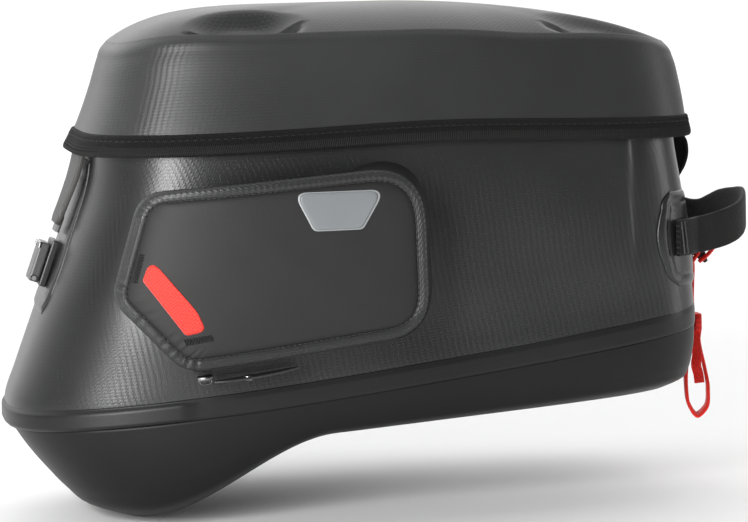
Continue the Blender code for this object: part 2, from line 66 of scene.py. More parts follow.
# ---------------------------------------------------------------- camera, floor and studio light
# The bag is seen from the near side, a little towards its nose and from slightly above,
# through a long lens. The camera is rolled a little, so the handle end sits higher.

MM = 0.001
LENS = 130.0
SENSOR = 36.0
DISTANCE = 1.637
CAMERA_TURN = math.radians(-12)
CAMERA_RISE = math.radians(6)
CAMERA_ROLL = math.radians(1.5)
AIM = np.array([-50.0, 0.0, 77.0]) * MM


def unit(v):
    return np.asarray(v, float) / np.linalg.norm(v)


def matrix_of(right, up, back, place):
    """A 4 by 4 matrix, as rows, from three axes and a place."""
    rows = np.eye(4)
    rows[:3, 0] = right
    rows[:3, 1] = up
    rows[:3, 2] = back
    rows[:3, 3] = place
    return [list(row) for row in rows]


def place_camera():
    """Looks at AIM from DISTANCE: turned round Z, raised, then rolled on its own axis."""
    back = np.array([math.sin(CAMERA_TURN) * math.cos(CAMERA_RISE),
                     -math.cos(CAMERA_TURN) * math.cos(CAMERA_RISE), math.sin(CAMERA_RISE)])
    level_right = unit(np.cross(-back, (0, 0, 1)))
    level_up = np.cross(level_right, -back)
    right = level_right * math.cos(CAMERA_ROLL) - level_up * math.sin(CAMERA_ROLL)
    up = level_right * math.sin(CAMERA_ROLL) + level_up * math.cos(CAMERA_ROLL)
    camera = bpy.data.objects.new("camera", bpy.data.cameras.new("camera"))
    camera.data.lens = LENS
    camera.data.sensor_width = SENSOR
    camera.data.clip_start = 0.05
    bpy.context.scene.collection.objects.link(camera)
    bpy.context.scene.camera = camera
    camera.matrix_world = Matrix(matrix_of(right, up, back, AIM + back * DISTANCE))


FAR = 13.0
# name, place, target, size and power in watts
LIGHTS = (("left_box", (-1.12, -1.22, 0.52), (-0.1, 0, 0.08), (0.4, 0.95), 29),
          ("right_box", (1.5, -0.45, 0.4), (0.1, 0, 0.08), (0.35, 0.9), 4),
          ("ceiling", (0.0, 13.2, 4.6), (0.0, 13.3, 0), (26, 27.4), 2300))


def soft_box(name, place, target, size, power):
    light = bpy.data.objects.new(name, bpy.data.lights.new(name, "AREA"))
    light.data.shape = "RECTANGLE"
    light.data.size = size[0]
    light.data.size_y = size[1]
    light.data.energy = power
    bpy.context.scene.collection.objects.link(light)
    back = unit(np.array(place) - np.array(target))
    right = unit(np.cross((0, 0, 1), back))
    light.matrix_world = Matrix(matrix_of(right, np.cross(back, right), back, place))
    light.visible_camera = False


def make_studio():
    """White all round, brighter towards +Y, over a plain floor that ends out of sight."""
    world = bpy.data.worlds.new("studio")
    world.use_nodes = True
    nodes = world.node_tree.nodes
    way = nodes.new("ShaderNodeSeparateXYZ")
    bright = nodes.new("ShaderNodeMapRange")
    for label, value in (("From Min", 0.0), ("From Max", 0.95), ("To Min", 0.16), ("To Max", 1.05)):
        bright.inputs[label].default_value = value
    world.node_tree.links.new(nodes.new("ShaderNodeTexCoord").outputs["Generated"], way.inputs[0])
    world.node_tree.links.new(way.outputs["Y"], bright.inputs["Value"])
    world.node_tree.links.new(bright.outputs[0], nodes["Background"].inputs["Strength"])
    nodes["Background"].inputs["Color"].default_value = (1, 1, 1, 1)
    bpy.context.scene.world = world
    bpy.context.scene.view_settings.view_transform = "Standard"
    mesh = bpy.data.meshes.new("floor")
    level = cad_low[2] - 0.001
    corners = [(x * FAR, y * FAR, level) for x, y in ((-1, -1), (1, -1), (1, 1), (-1, 1))]
    mesh.from_pydata(corners, [], [(0, 1, 2, 3)])
    floor = bpy.data.objects.new("floor", mesh)
    bpy.context.scene.collection.objects.link(floor)
    material = bpy.data.materials.new("floor_white")
    material.use_nodes = True
    shader = material.node_tree.nodes["Principled BSDF"]
    shader.inputs["Base Color"].default_value = (0.95, 0.95, 0.95, 1)
    shader.inputs["Roughness"].default_value = 0.9
    mesh.materials.append(material)
    for light in LIGHTS:
        soft_box(*light)


place_camera()
make_studio()

# ---------------------------------------------------------------- moulded base
# The lower shell of the bag: EVA foam pressed hot under a smooth black skin. It drops into a deep
# nose and is hollowed underneath, with a round flat seat that the tank-ring adapter is screwed to.

AROUND = 288
SPLIT_X = -60 * MM
END_POWER = 6.0
SEAT_RADIUS = 64 * MM
MOUTH_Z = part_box("body_shell")[1][2]
SEAT_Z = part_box("tank_ring_adapter")[1][2] + 0.35 * MM

# how far down the wall, then how far nose, handle end and side stand in from the base's box,
# in millimetres, and the nose power
BASE_LEVELS = ((0.00, 0.0, 0.0, 0.0, 2.8), (0.25, 9.0, 0.0, 0.6, 2.8), (0.50, 20.0, 1.0, 2.0, 2.8),
               (0.70, 30.0, 2.5, 4.0, 2.8), (0.88, 42.0, 5.5, 8.0, 2.8),
               (1.00, 60.0, 13.0, 17.0, 2.8))


def between(knots, values, t):
    """Smooth curve through (knots, values): cubic pieces whose slope at a knot is the slope
    between its two neighbours."""
    knots = np.asarray(knots, float)
    values = np.asarray(values, float)
    slope = np.gradient(values, knots)
    k = np.clip(np.searchsorted(knots, t) - 1, 0, len(knots) - 2)
    width = knots[k + 1] - knots[k]
    s = (np.clip(t, knots[0], knots[-1]) - knots[k]) / width
    low = values[k] * (1 + 2 * s) * (1 - s) ** 2 + width * slope[k] * s * (1 - s) ** 2
    high = values[k + 1] * s ** 2 * (3 - 2 * s) + width * slope[k + 1] * s ** 2 * (s - 1)
    return low + high


def smoothstep(t):
    t = np.clip(t, 0, 1)
    return t * t * (3 - 2 * t)


def walked(points):
    """How far along the points each of them lies, starting at 0."""
    return np.concatenate([[0], np.cumsum(np.linalg.norm(np.diff(points, axis=0), axis=1))])


def looped(points):
    """The points with the first one added again at the end."""
    return np.concatenate([points, points[:1]])


def sampled(points, travelled, at):
    """The places at the distances at, on straight lines between the points."""
    return np.stack([np.interp(at, travelled, column) for column in points.T], 1)


def outline(nose, end, half, nose_power, count=AROUND):
    """Closed plan outline: a superellipse half for the nose and one for the handle end, with its
    points shared out between length and turning."""
    angle = np.linspace(0, 2 * math.pi, 2881)[:-1]
    c = np.cos(angle)
    s = np.sin(angle)
    power = np.where(c < 0, nose_power, END_POWER)
    reach = np.where(c < 0, SPLIT_X - nose, end - SPLIT_X)
    plan = np.stack([SPLIT_X + reach * np.sign(c) * np.abs(c) ** (2 / power),
                     half * np.sign(s) * np.abs(s) ** (2 / power)], 1)
    step = np.roll(plan, -1, 0) - plan
    length = np.hypot(*step.T)
    heading = np.unwrap(np.arctan2(step[:, 1], step[:, 0]))
    turning = np.abs(np.diff(heading, append=heading[0] + 2 * math.pi))
    weight = 2.2 * length / length.sum() + turning / turning.sum()
    travelled = np.concatenate([[0], np.cumsum(weight)])
    at = np.linspace(0, travelled[-1], count + 1)[:-1]
    return sampled(looped(plan), travelled, at)


def level_sizes(levels, box, t):
    """Nose X, handle-end X, half width and nose power at t, from insets in millimetres."""
    table = np.array(levels)
    nose, end, half = [between(table[:, 0], table[:, i], t) * MM for i in (1, 2, 3)]
    return box[0][0] + nose, box[1][0] - end, box[1][1] - half, between(table[:, 0], table[:, 4], t)


def seam_z(x):
    """Height of the weld between body and base, climbing to the handle."""
    return (22 + 125 * x + 80 * x * x) * MM


def edge_z(x):
    """Height of the base's lower edge, dropping smoothly into the nose."""
    return (-6 + 65 * x - 42 * smoothstep((-0.093 - x) / 0.115)) * MM


def base_ring(t):
    """The base's wall at t, from 0 at the weld to 1 at its lower edge."""
    plan = outline(*level_sizes(BASE_LEVELS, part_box("base_shell"), t))
    top = seam_z(plan[:, 0]) - 0.6 * MM
    return np.column_stack([plan, top + t * (edge_z(plan[:, 0]) - top)])


def under_ring(b):
    """The underside: a saddle that runs from the base's edge, b = 0, to the round seat, b = 1."""
    edge = base_ring(1.0)[:, :2]
    radius = np.hypot(*edge.T)
    circle = edge * (SEAT_RADIUS / radius)[:, None]
    inward = 0.9955 - 0.0455 * smoothstep(b * 12)
    xy = inward * (1 - b) * edge + b * circle
    saddle = edge_z(xy[:, 0]) + 14 * MM * (1 - (np.hypot(*xy.T) / radius) ** 2)
    return np.column_stack([xy, saddle + smoothstep(b) ** 2 * (SEAT_Z - saddle)])


def new_piece(name, points, faces, materials, loop_uv=None):
    """A smooth mesh object. loop_uv holds a UV for every face corner of map cloth, in metres."""
    mesh = bpy.data.meshes.new(name)
    mesh.from_pydata(points.tolist(), [], faces)
    layer = mesh.uv_layers.new(name="cloth")
    if loop_uv is not None:
        layer.data.foreach_set("uv", loop_uv.astype(np.float32).reshape(-1))
    mesh.shade_smooth()
    for material in materials:
        mesh.materials.append(material)
    piece = bpy.data.objects.new(name, mesh)
    bpy.context.scene.collection.objects.link(piece)
    return piece


def surface(name, grid, materials, closed=True, fan=False, planar_from=None, wall=0.0, flat=(0, 1),
            turn=0.0):
    """A grid of points, rows by columns, as one smooth mesh. closed joins the last column to the
    first, fan shuts the last row to its middle. UV map cloth is in metres: round the row and down
    the columns, or from row planar_from on the two axes in flat, turned by an angle."""
    grid = np.asarray(grid, float)
    rows, cols = grid.shape[:2]
    wrap = np.concatenate([grid, grid[:, :1]], 1) if closed else grid
    across = np.linalg.norm(np.diff(wrap, axis=1), axis=2)
    u = np.concatenate([np.zeros((rows, 1)), np.cumsum(across, axis=1)], 1)
    down = np.linalg.norm(np.diff(wrap, axis=0), axis=2)
    v = np.concatenate([np.zeros((1, wrap.shape[1])), np.cumsum(down, axis=0)], 0)
    v = np.broadcast_to(v.mean(axis=1, keepdims=True), u.shape)
    uv = np.stack([u, v], 2)
    spin = np.array([[math.cos(turn), math.sin(turn)], [-math.sin(turn), math.cos(turn)]])
    if planar_from is not None:
        uv[planar_from:] = wrap[planar_from:][:, :, flat] @ spin
    span = cols if closed else cols - 1
    r, c = np.meshgrid(np.arange(rows - 1), np.arange(span), indexing="ij")
    n = (c + 1) % cols
    quads = np.stack([r * cols + c, r * cols + n, (r + 1) * cols + n, (r + 1) * cols + c], 2)
    quads = quads.reshape(-1, 4)
    quad_uv = np.stack([uv[r, c], uv[r, c + 1], uv[r + 1, c + 1], uv[r + 1, c]], 2).reshape(-1, 2)
    points = grid.reshape(-1, 3)
    faces = quads.tolist()
    loop_uv = quad_uv
    if fan:
        middle = grid[-1].mean(axis=0)
        points = np.concatenate([points, middle[None]])
        c = np.arange(cols)
        last = (rows - 1) * cols
        tip = np.full(cols, len(points) - 1)
        faces += np.stack([last + c, last + (c + 1) % cols, tip], 1).tolist()
        corners = np.stack([wrap[-1, c], wrap[-1, c + 1], np.tile(middle, (cols, 1))], 1)
        loop_uv = np.concatenate([quad_uv, (corners[:, :, flat] @ spin).reshape(-1, 2)])
    piece = new_piece(name, points, faces, materials, loop_uv)
    if wall:
        solid = piece.modifiers.new("wall", "SOLIDIFY")
        solid.thickness = wall
        solid.offset = -1
        solid.use_even_offset = False
        solid.material_offset = len(materials) - 1
    return piece


def flip(piece):
    piece.data.flip_normals()
    return piece


def facing(piece, way):
    """Turns the faces round if, taken together, they look away from the direction way."""
    mesh = piece.data
    normals = np.empty(len(mesh.polygons) * 3, np.float32)
    areas = np.empty(len(mesh.polygons), np.float32)
    mesh.polygons.foreach_get("normal", normals)
    mesh.polygons.foreach_get("area", areas)
    if (normals.reshape(-1, 3) * areas[:, None]).sum(axis=0) @ np.array(way, float) < 0:
        mesh.flip_normals()
    return piece


def group(name, inputs, outputs):
    """An empty shader node group with float or vector inputs and float outputs."""
    tree = bpy.data.node_groups.new(name, "ShaderNodeTree")
    for label, kind, value in inputs:
        socket = tree.interface.new_socket(label, in_out="INPUT", socket_type=kind)
        if value is not None:
            socket.default_value = value
    for label in outputs:
        tree.interface.new_socket(label, in_out="OUTPUT", socket_type="NodeSocketFloat")
    return tree, tree.nodes.new("NodeGroupInput"), tree.nodes.new("NodeGroupOutput")


def math_node(tree, what, a, b=None):
    node = tree.nodes.new("ShaderNodeMath")
    node.operation = what
    for socket, value in ((node.inputs[0], a), (node.inputs[1], b)):
        if isinstance(value, (int, float)):
            socket.default_value = value
        elif value is not None:
            tree.links.new(value, socket)
    return node.outputs[0]


def noise_node(tree, vector, scale, detail=3.0, roughness=0.55):
    node = tree.nodes.new("ShaderNodeTexNoise")
    node.inputs["Scale"].default_value = scale
    node.inputs["Detail"].default_value = detail
    node.inputs["Roughness"].default_value = roughness
    if vector is not None:
        tree.links.new(vector, node.inputs["Vector"])
    return node.outputs["Fac"]


def make_skin_group():
    """Moulded or coated skin: Height is a fine leathery grain, Patches a slow unevenness."""
    inputs = [("Vector", "NodeSocketVector", None), ("Scale", "NodeSocketFloat", 900.0)]
    tree, given, gives = group("skin_grain", inputs, ["Height", "Patches"])
    cells = tree.nodes.new("ShaderNodeTexVoronoi")
    tree.links.new(given.outputs["Vector"], cells.inputs["Vector"])
    tree.links.new(given.outputs["Scale"], cells.inputs["Scale"])
    fine = noise_node(tree, given.outputs["Vector"], 700.0)
    height = math_node(tree, "ADD", math_node(tree, "MULTIPLY", cells.outputs["Distance"], 0.6),
                       math_node(tree, "MULTIPLY", fine, 0.5))
    tree.links.new(height, gives.inputs["Height"])
    tree.links.new(noise_node(tree, given.outputs["Vector"], 9.0, 4.0), gives.inputs["Patches"])
    return tree


def make_weave_group():
    """Plain weave: Height has warp and weft ridges that take turns on top, as on a chequerboard."""
    inputs = [("Vector", "NodeSocketVector", None), ("Pitch", "NodeSocketFloat", 0.0014)]
    tree, given, gives = group("plain_weave", inputs, ["Height"])
    split = tree.nodes.new("ShaderNodeSeparateXYZ")
    tree.links.new(given.outputs["Vector"], split.inputs[0])
    turns = [math_node(tree, "DIVIDE", split.outputs[i], given.outputs["Pitch"]) for i in (0, 1)]
    waves = [math_node(tree, "SINE", math_node(tree, "MULTIPLY", t, math.pi)) for t in turns]
    ridge = [math_node(tree, "ABSOLUTE", wave) for wave in waves]
    cell = math_node(tree, "ADD", *[math_node(tree, "FLOOR", t) for t in turns])
    over = math_node(tree, "FLOORED_MODULO", cell, 2.0)
    warp = math_node(tree, "MULTIPLY", ridge[0], over)
    weft = math_node(tree, "MULTIPLY", ridge[1], math_node(tree, "SUBTRACT", 1.0, over))
    tree.links.new(math_node(tree, "ADD", warp, weft), gives.inputs["Height"])
    return tree


SKIN_GRAIN = make_skin_group()
PLAIN_WEAVE = make_weave_group()


class Finish:
    """A material under way: its tree, its Principled shader, and short ways to add to it."""

    def __init__(self, name, roughness, metallic=0.0, specular=0.5, sheen=0.0):
        self.material = bpy.data.materials.new(name)
        self.material.use_nodes = True
        self.tree = self.material.node_tree
        self.shader = self.tree.nodes["Principled BSDF"]
        for label, value in (("Roughness", roughness), ("Metallic", metallic),
                             ("Specular IOR Level", specular), ("Sheen Weight", sheen),
                             ("Sheen Roughness", 0.4)):
            self.shader.inputs[label].default_value = value
        self.places = self.tree.nodes.new("ShaderNodeTexCoord").outputs["Object"]
        cloth = self.tree.nodes.new("ShaderNodeUVMap")
        cloth.uv_map = "cloth"
        self.cloth = cloth.outputs["UV"]

    def use(self, tree, vector, **values):
        node = self.tree.nodes.new("ShaderNodeGroup")
        node.node_tree = tree
        self.tree.links.new(vector, node.inputs["Vector"])
        for label, value in values.items():
            node.inputs[label].default_value = value
        return node.outputs

    def mixed(self, first, second, share):
        """share of the first value and the rest of the second."""
        return math_node(self.tree, "ADD", math_node(self.tree, "MULTIPLY", first, share),
                         math_node(self.tree, "MULTIPLY", second, 1 - share))

    def colours(self, factor, low, high, start=0.3, stop=0.7):
        ramp = self.tree.nodes.new("ShaderNodeValToRGB")
        for end, colour, place in zip(ramp.color_ramp.elements, (low, high), (start, stop)):
            end.color = (*colour, 1)
            end.position = place
        self.tree.links.new(factor, ramp.inputs[0])
        self.tree.links.new(ramp.outputs[0], self.shader.inputs["Base Color"])

    def rough(self, factor, low, high):
        spread = self.tree.nodes.new("ShaderNodeMapRange")
        spread.inputs["To Min"].default_value = low
        spread.inputs["To Max"].default_value = high
        self.tree.links.new(factor, spread.inputs["Value"])
        self.tree.links.new(spread.outputs[0], self.shader.inputs["Roughness"])

    def bump(self, height, depth, strength=1.0):
        node = self.tree.nodes.new("ShaderNodeBump")
        node.inputs["Distance"].default_value = depth
        node.inputs["Strength"].default_value = strength
        self.tree.links.new(height, node.inputs["Height"])
        old = self.shader.inputs["Normal"].links
        if old:
            self.tree.links.new(old[0].from_socket, node.inputs["Normal"])
        self.tree.links.new(node.outputs[0], self.shader.inputs["Normal"])


def grey(value, tint=1.04):
    """A grey whose blue is tint times its red."""
    return (value, value * (1 + (tint - 1) / 2), value * tint)


def skin(name, dark, light, scale, low_rough, high_rough, depth, specular=0.5):
    """A smooth moulded surface: fine leathery grain, uneven in colour and gloss."""
    made = Finish(name, low_rough, specular=specular)
    grain = made.use(SKIN_GRAIN, made.places, Scale=scale)
    made.colours(grain["Patches"], dark, light)
    made.rough(grain["Patches"], low_rough, high_rough)
    made.bump(grain["Height"], depth)
    return made.material


def lining_cloth():
    made = Finish("grey_lining", 0.8, specular=0.2)
    weave = made.use(PLAIN_WEAVE, made.cloth, Pitch=0.0011)
    made.colours(weave["Height"], (0.10, 0.105, 0.11), (0.17, 0.175, 0.18))
    made.bump(weave["Height"], 0.0002)
    return made.material


BASE_SKIN = skin("moulded_skin", grey(0.004), grey(0.006), 1500.0, 0.4, 0.52, 0.00005, 0.3)
LINING = lining_cloth()


def make_base():
    walls = [base_ring(t) for t in np.linspace(0, 1, 30)]
    inwards = np.concatenate([np.linspace(0.01, 0.08, 4), np.linspace(0.12, 1, 20)])
    under = [under_ring(b) for b in inwards]
    middle = [under[-1] * (s, s, 1) for s in (0.75, 0.5, 0.25)]
    base = flip(surface("moulded_base", walls + under + middle, [BASE_SKIN, LINING], fan=True,
                        planar_from=len(walls), wall=3.6 * MM))
    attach(base, "bag")
    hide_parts("base_shell")


make_base()

# ---------------------------------------------------------------- body
# The wall of the bag: PU-coated nylon laminated to foam, satin black with a fine woven grain.
# It leans back from the nose, flares out above the weld, and has one soft crease near the handle.

# how far down the wall, then insets of nose, handle end and side from the body's box, nose power
BODY_LEVELS = ((0.00, 53.5, 11.0, 6.0, 3.8), (0.12, 52.5, 10.0, 4.5, 3.7),
               (0.36, 39.0, 6.0, 2.5, 3.4), (0.62, 21.0, 2.0, 1.5, 3.1),
               (0.83, 6.5, 0.5, 1.0, 2.9), (0.92, 0.8, 0.0, 0.3, 2.8), (1.00, 0.0, 0.0, 0.0, 2.8))


def outwards(ring):
    """Plan normals of a closed ring, level and pointing out."""
    along = np.roll(ring, -1, 0) - np.roll(ring, 1, 0)
    normal = np.column_stack([along[:, 1], -along[:, 0], np.zeros(len(ring))])
    return normal / np.linalg.norm(normal, axis=1)[:, None]


def body_ring(t, out=0.0):
    """The body's wall at t, from 0 at the mouth to 1 at the weld, moved out by out."""
    plan = outline(*level_sizes(BODY_LEVELS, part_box("body_shell"), t))
    ring = np.column_stack([plan, MOUTH_Z + t * (seam_z(plan[:, 0]) - MOUTH_Z)])
    return ring + outwards(ring) * np.reshape(out, (-1, 1))


def body_relief(ring, t):
    """How far the cloth stands in or out: a vertical crease near the handle end and slow waves
    of the foam behind the cloth."""
    x, y, z = ring.T
    side = smoothstep((np.abs(y) / MM - 60) / 30)
    crease = -1.2 * np.exp(-((x / MM - 86) / 2.4) ** 2) + 0.7 * np.exp(-((x / MM - 79) / 4.5) ** 2)
    fade = smoothstep((t - 0.02) / 0.1) * smoothstep((0.8 - t) / 0.3)
    waves = 0.35 * np.sin(x * 61 + z * 23) * np.sin(z * 47 + y * 19 + 1.0)
    return (crease * side * fade + waves) * MM


def shell_cloth(name, dark, light, low_rough, high_rough, pitch, depth, shows=0.3, specular=0.55):
    """PU-coated nylon: the weave shows through the coat as a fine satin grid."""
    made = Finish(name, 0.45, specular=specular)
    weave = made.use(PLAIN_WEAVE, made.cloth, Pitch=pitch)
    grain = made.use(SKIN_GRAIN, made.places, Scale=1100.0)
    made.colours(made.mixed(weave["Height"], grain["Patches"], shows), dark, light)
    made.rough(grain["Patches"], low_rough, high_rough)
    made.bump(weave["Height"], depth)
    made.bump(grain["Height"], 0.00003)
    return made.material


BODY_CLOTH = shell_cloth("coated_cloth", grey(0.009), grey(0.0165), 0.27, 0.35, 0.0017, 0.000028,
                         0.15)


def make_body():
    levels = np.linspace(0, 1, 76)
    rings = []
    for t in levels:
        ring = body_ring(t)
        rings.append(body_ring(t, body_relief(ring, t)))
    body = flip(surface("body_wall", rings, [BODY_CLOTH, LINING], wall=2.6 * MM))
    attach(body, "bag")
    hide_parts("body_shell")


make_body()

# ---------------------------------------------------------------- weld band
# A flat band of the same skin, welded hot over the joint of body and base. It is thickest round
# the nose, where it ends in a small step on each side, and thins into the wall behind it.

BAND_HEIGHT = 12.5 * MM
BAND_STEP_X = -178 * MM
BAND_LAP = 0.8 * MM
BAND_SKIN = skin("weld_skin", grey(0.005), grey(0.009), 1300.0, 0.34, 0.46, 0.00004, 0.36)


def make_band():
    """Rings up the body's wall from just under the weld, with a rounded lip at each edge."""
    rings = []
    for s in np.linspace(0, 1, 20):
        seat = body_ring(1.0)
        x = seat[:, 0]
        thick = 0.4 + 1.2 * smoothstep((BAND_STEP_X - x) / (3 * MM))
        lip = smoothstep(s / 0.14) * smoothstep((1 - s) / 0.3)
        height = (s * BAND_HEIGHT - BAND_LAP) / (MOUTH_Z - seam_z(x))
        sizes = np.clip(1 - height, 0, 1)
        wall = level_sizes(BODY_LEVELS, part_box("body_shell"), float(sizes.mean()))
        ring = np.column_stack([outline(*wall), seam_z(x)])
        ring[:, 2] = seam_z(ring[:, 0]) + s * BAND_HEIGHT - BAND_LAP
        rings.append(ring + outwards(ring) * ((0.25 + thick * lip) * MM)[:, None])
    band = surface("weld_band_skin", rings, [BAND_SKIN], wall=0.9 * MM)
    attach(band, "bag")
    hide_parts("weld_band")


make_band()

# ---------------------------------------------------------------- lid
# A moulded clamshell cover: the same coated nylon over a foam shell with a coarser grain. A raised
# plateau runs along its top, and finger scoops are pressed into its shoulders.

LID_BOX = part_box("lid_shell")
RIM_Z = 151.5 * MM
RIM_ARCH = 3.5 * MM
# how far up the wall, then insets as for the base, nose power
LID_LEVELS = ((0.00, 0.0, 0.0, 0.0, 3.9), (0.20, 5.5, 1.0, 2.0, 3.9), (0.60, 15.0, 3.5, 7.5, 3.9),
              (0.85, 20.0, 6.5, 10.6, 3.8), (0.95, 22.6, 9.0, 12.3, 3.75),
              (1.00, 26.0, 12.0, 14.6, 3.7))
# middle X and Y, half length, half width and depth of each pressed scoop
SCOOPS = ((-138, 75, 36, 19, 8.5), (76, 74, 42, 18, 7.0))


def crest_z(x):
    """Height of the lid's middle line."""
    x = x / MM
    fall = 26 * np.clip((x + 40) / 170, 0, None) ** 1.8
    nose = 5 * np.clip((-100 - x) / 90, 0, None) ** 3
    return LID_BOX[1][2] - (fall + nose) * MM


def shoulder_drop(x):
    """How far the shoulder lies below the middle line: less towards both ends."""
    x = x / MM
    return (16 - 10 * smoothstep((x - 10) / 100) - 4 * smoothstep((-130 - x) / 60)) * MM


def rim_z(x):
    """Height of the lid's rim, which arches up a little over the pockets."""
    return RIM_Z + RIM_ARCH * np.exp(-((x / MM + 30) / 90) ** 2)


def lid_ring(t, out=0.0):
    """The lid's wall at t, from 0 at the rim to 1 at the shoulder."""
    plan = outline(*level_sizes(LID_LEVELS, LID_BOX, t))
    rim = rim_z(plan[:, 0])
    shoulder = crest_z(plan[:, 0]) - shoulder_drop(plan[:, 0])
    ring = np.column_stack([plan, rim + t * (shoulder - rim)])
    return ring + outwards(ring) * np.reshape(out, (-1, 1))


def crown_ring(s):
    """The top: rings shrunk towards the middle that climb steeply at the two ends and more
    slowly along the sides, with the scoops pressed in."""
    ring = lid_ring(1.0)
    middle = np.array([-42 * MM, 0])
    xy = middle + s * (ring[:, :2] - middle)
    endness = smoothstep((np.abs((ring[:, 0] / MM + 42) / 160) - 0.62) / 0.38)
    z = crest_z(xy[:, 0]) - shoulder_drop(ring[:, 0]) * s ** (3.4 + 3.6 * endness)
    for x0, y0, long, wide, deep in SCOOPS:
        over = (np.abs(xy[:, 1]) / MM - y0) / wide
        reach = (np.abs((xy[:, 0] / MM - x0) / long) ** 2.4 + np.abs(over) ** 2.4) ** (1 / 2.4)
        z = z - deep * MM * smoothstep((1 - reach) / np.where(over > 0, 0.3, 0.6))
    return np.column_stack([xy, z])


LID_CLOTH = shell_cloth("lid_cloth", grey(0.011), grey(0.025), 0.38, 0.48, 0.0017, 0.00005, 0.25)


def make_lid():
    levels = np.concatenate([np.linspace(0, 0.84, 34), np.linspace(0.865, 1, 14)])
    wall = [lid_ring(t) for t in levels]
    crown = [crown_ring(s) for s in 1 - np.linspace(0.004, 1, 74)[:-1] ** 1.12]
    lid = surface("lid_cover", wall + crown, [LID_CLOTH, LINING], fan=True,
                  planar_from=len(wall) - 1, wall=2.6 * MM)
    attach(lid, "lid")
    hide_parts("lid_shell")


make_lid()

# ---------------------------------------------------------------- lid binding
# Grosgrain tape folded over the raw rim of the lid and sewn through with one row of black thread.
# Its ribs run up and down, and its two ends lap near the nose.

TAPE_HEIGHT = 11.6 * MM
RIB_PITCH = 1.25 * MM
LID_WALL = 62 * MM
LAP_X = -222 * MM
STITCH_LINE = 0.71
# fraction of the tape's height, stand-off in millimetres, how much of the rib shows
TAPE_PROFILE = ((0.0, -3.0, 0.0), (-0.05, -2.2, 0.3), (-0.09, -0.8, 0.8), (-0.08, 0.6, 1.0),
                (-0.01, 1.5, 1.0), (0.10, 1.9, 1.0), (0.25, 1.85, 1.0), (0.42, 1.6, 1.0),
                (0.62, 1.35, 0.9), (0.72, 1.2, 0.7), (0.84, 1.25, 0.8), (0.95, 1.1, 0.6),
                (1.0, 0.1, 0.0))


def woven(made, dark, light, pitch, grain_scale, shows, depth, start=0.3, stop=0.7):
    """Bare yarn: shows is how much of the colour follows the weave, the rest its slow patches."""
    weave = made.use(PLAIN_WEAVE, made.cloth, Pitch=pitch)
    grain = made.use(SKIN_GRAIN, made.places, Scale=grain_scale)
    made.colours(made.mixed(weave["Height"], grain["Patches"], shows), dark, light, start, stop)
    made.bump(weave["Height"], depth)
    return made.material


def tape_cloth(name, dark, light):
    made = Finish(name, 0.75, specular=0.22, sheen=0.04)
    return woven(made, dark, light, 0.0009, 900.0, 0.5, 0.00008)


TAPE = tape_cloth("tape", (0.007, 0.007, 0.007), (0.02, 0.02, 0.021))
THREAD = tape_cloth("black_thread", (0.008, 0.008, 0.008), (0.03, 0.03, 0.032))


def grosgrain(pitch):
    """Ribbed tape: one rib for each pitch along the map's first axis, with painted shade darkening
    the grooves.
    """
    made = Finish("grosgrain", 0.7, specular=0.22, sheen=0.03)
    split = made.tree.nodes.new("ShaderNodeSeparateXYZ")
    made.tree.links.new(made.cloth, split.inputs[0])
    turns = math_node(made.tree, "MULTIPLY", split.outputs[0], 2 * math.pi / pitch)
    wave = math_node(made.tree, "MULTIPLY", math_node(made.tree, "COSINE", turns), 0.5)
    rib = math_node(made.tree, "ADD", wave, 0.5)
    grain = made.use(SKIN_GRAIN, made.places, Scale=1500.0)
    # painted shade: the colour follows the ribs and falls to near black in each groove between them
    made.colours(made.mixed(rib, grain["Patches"], 0.8), (0.001, 0.001, 0.001),
                 (0.015, 0.0147, 0.0144), 0.1, 0.9)
    made.bump(rib, 0.0001)
    return made.material


def capsules(name, middles, along, across, length, radius, material):
    """Stitches: a small six-sided spindle for each middle, lying along its direction."""
    middles = np.asarray(middles, float)
    along = along / np.linalg.norm(along, axis=1)[:, None]
    across = across / np.linalg.norm(across, axis=1)[:, None]
    third = np.cross(along, across)
    stations = np.array([-1.0, -0.7, 0.7, 1.0]) / 2 * length
    girth = np.array([0.35, 1.0, 1.0, 0.35]) * radius
    turn = np.arange(6) * math.pi / 3
    ring = (np.cos(turn)[None, None, :, None] * across[:, None, None] +
            np.sin(turn)[None, None, :, None] * third[:, None, None])
    points = (middles[:, None, None] + stations[None, :, None, None] * along[:, None, None]
              + girth[None, :, None, None] * ring)
    count = len(middles)
    r, c = np.meshgrid(np.arange(3), np.arange(6), indexing="ij")
    n = (c + 1) % 6
    quads = np.stack([r * 6 + c, r * 6 + n, (r + 1) * 6 + n, (r + 1) * 6 + c], 2)
    quads = quads.reshape(-1, 4)
    start = (np.arange(count) * 24)[:, None, None]
    faces = (quads[None] + start).reshape(-1, 4).tolist()
    caps = np.stack([np.arange(6)[::-1], 18 + np.arange(6)])
    faces += (caps[None] + start).reshape(-1, 6).tolist()
    return new_piece(name, points.reshape(-1, 3), faces, [material])


def closed_path(ring, pitch):
    """The closed ring walked at an even pitch: points, directions and level outward normals."""
    travelled = walked(looped(ring))
    at = np.linspace(0, travelled[-1], int(travelled[-1] / pitch) + 1)[:-1]
    points = sampled(looped(ring), travelled, at)
    return points, np.roll(points, -1, 0) - np.roll(points, 1, 0), outwards(points)


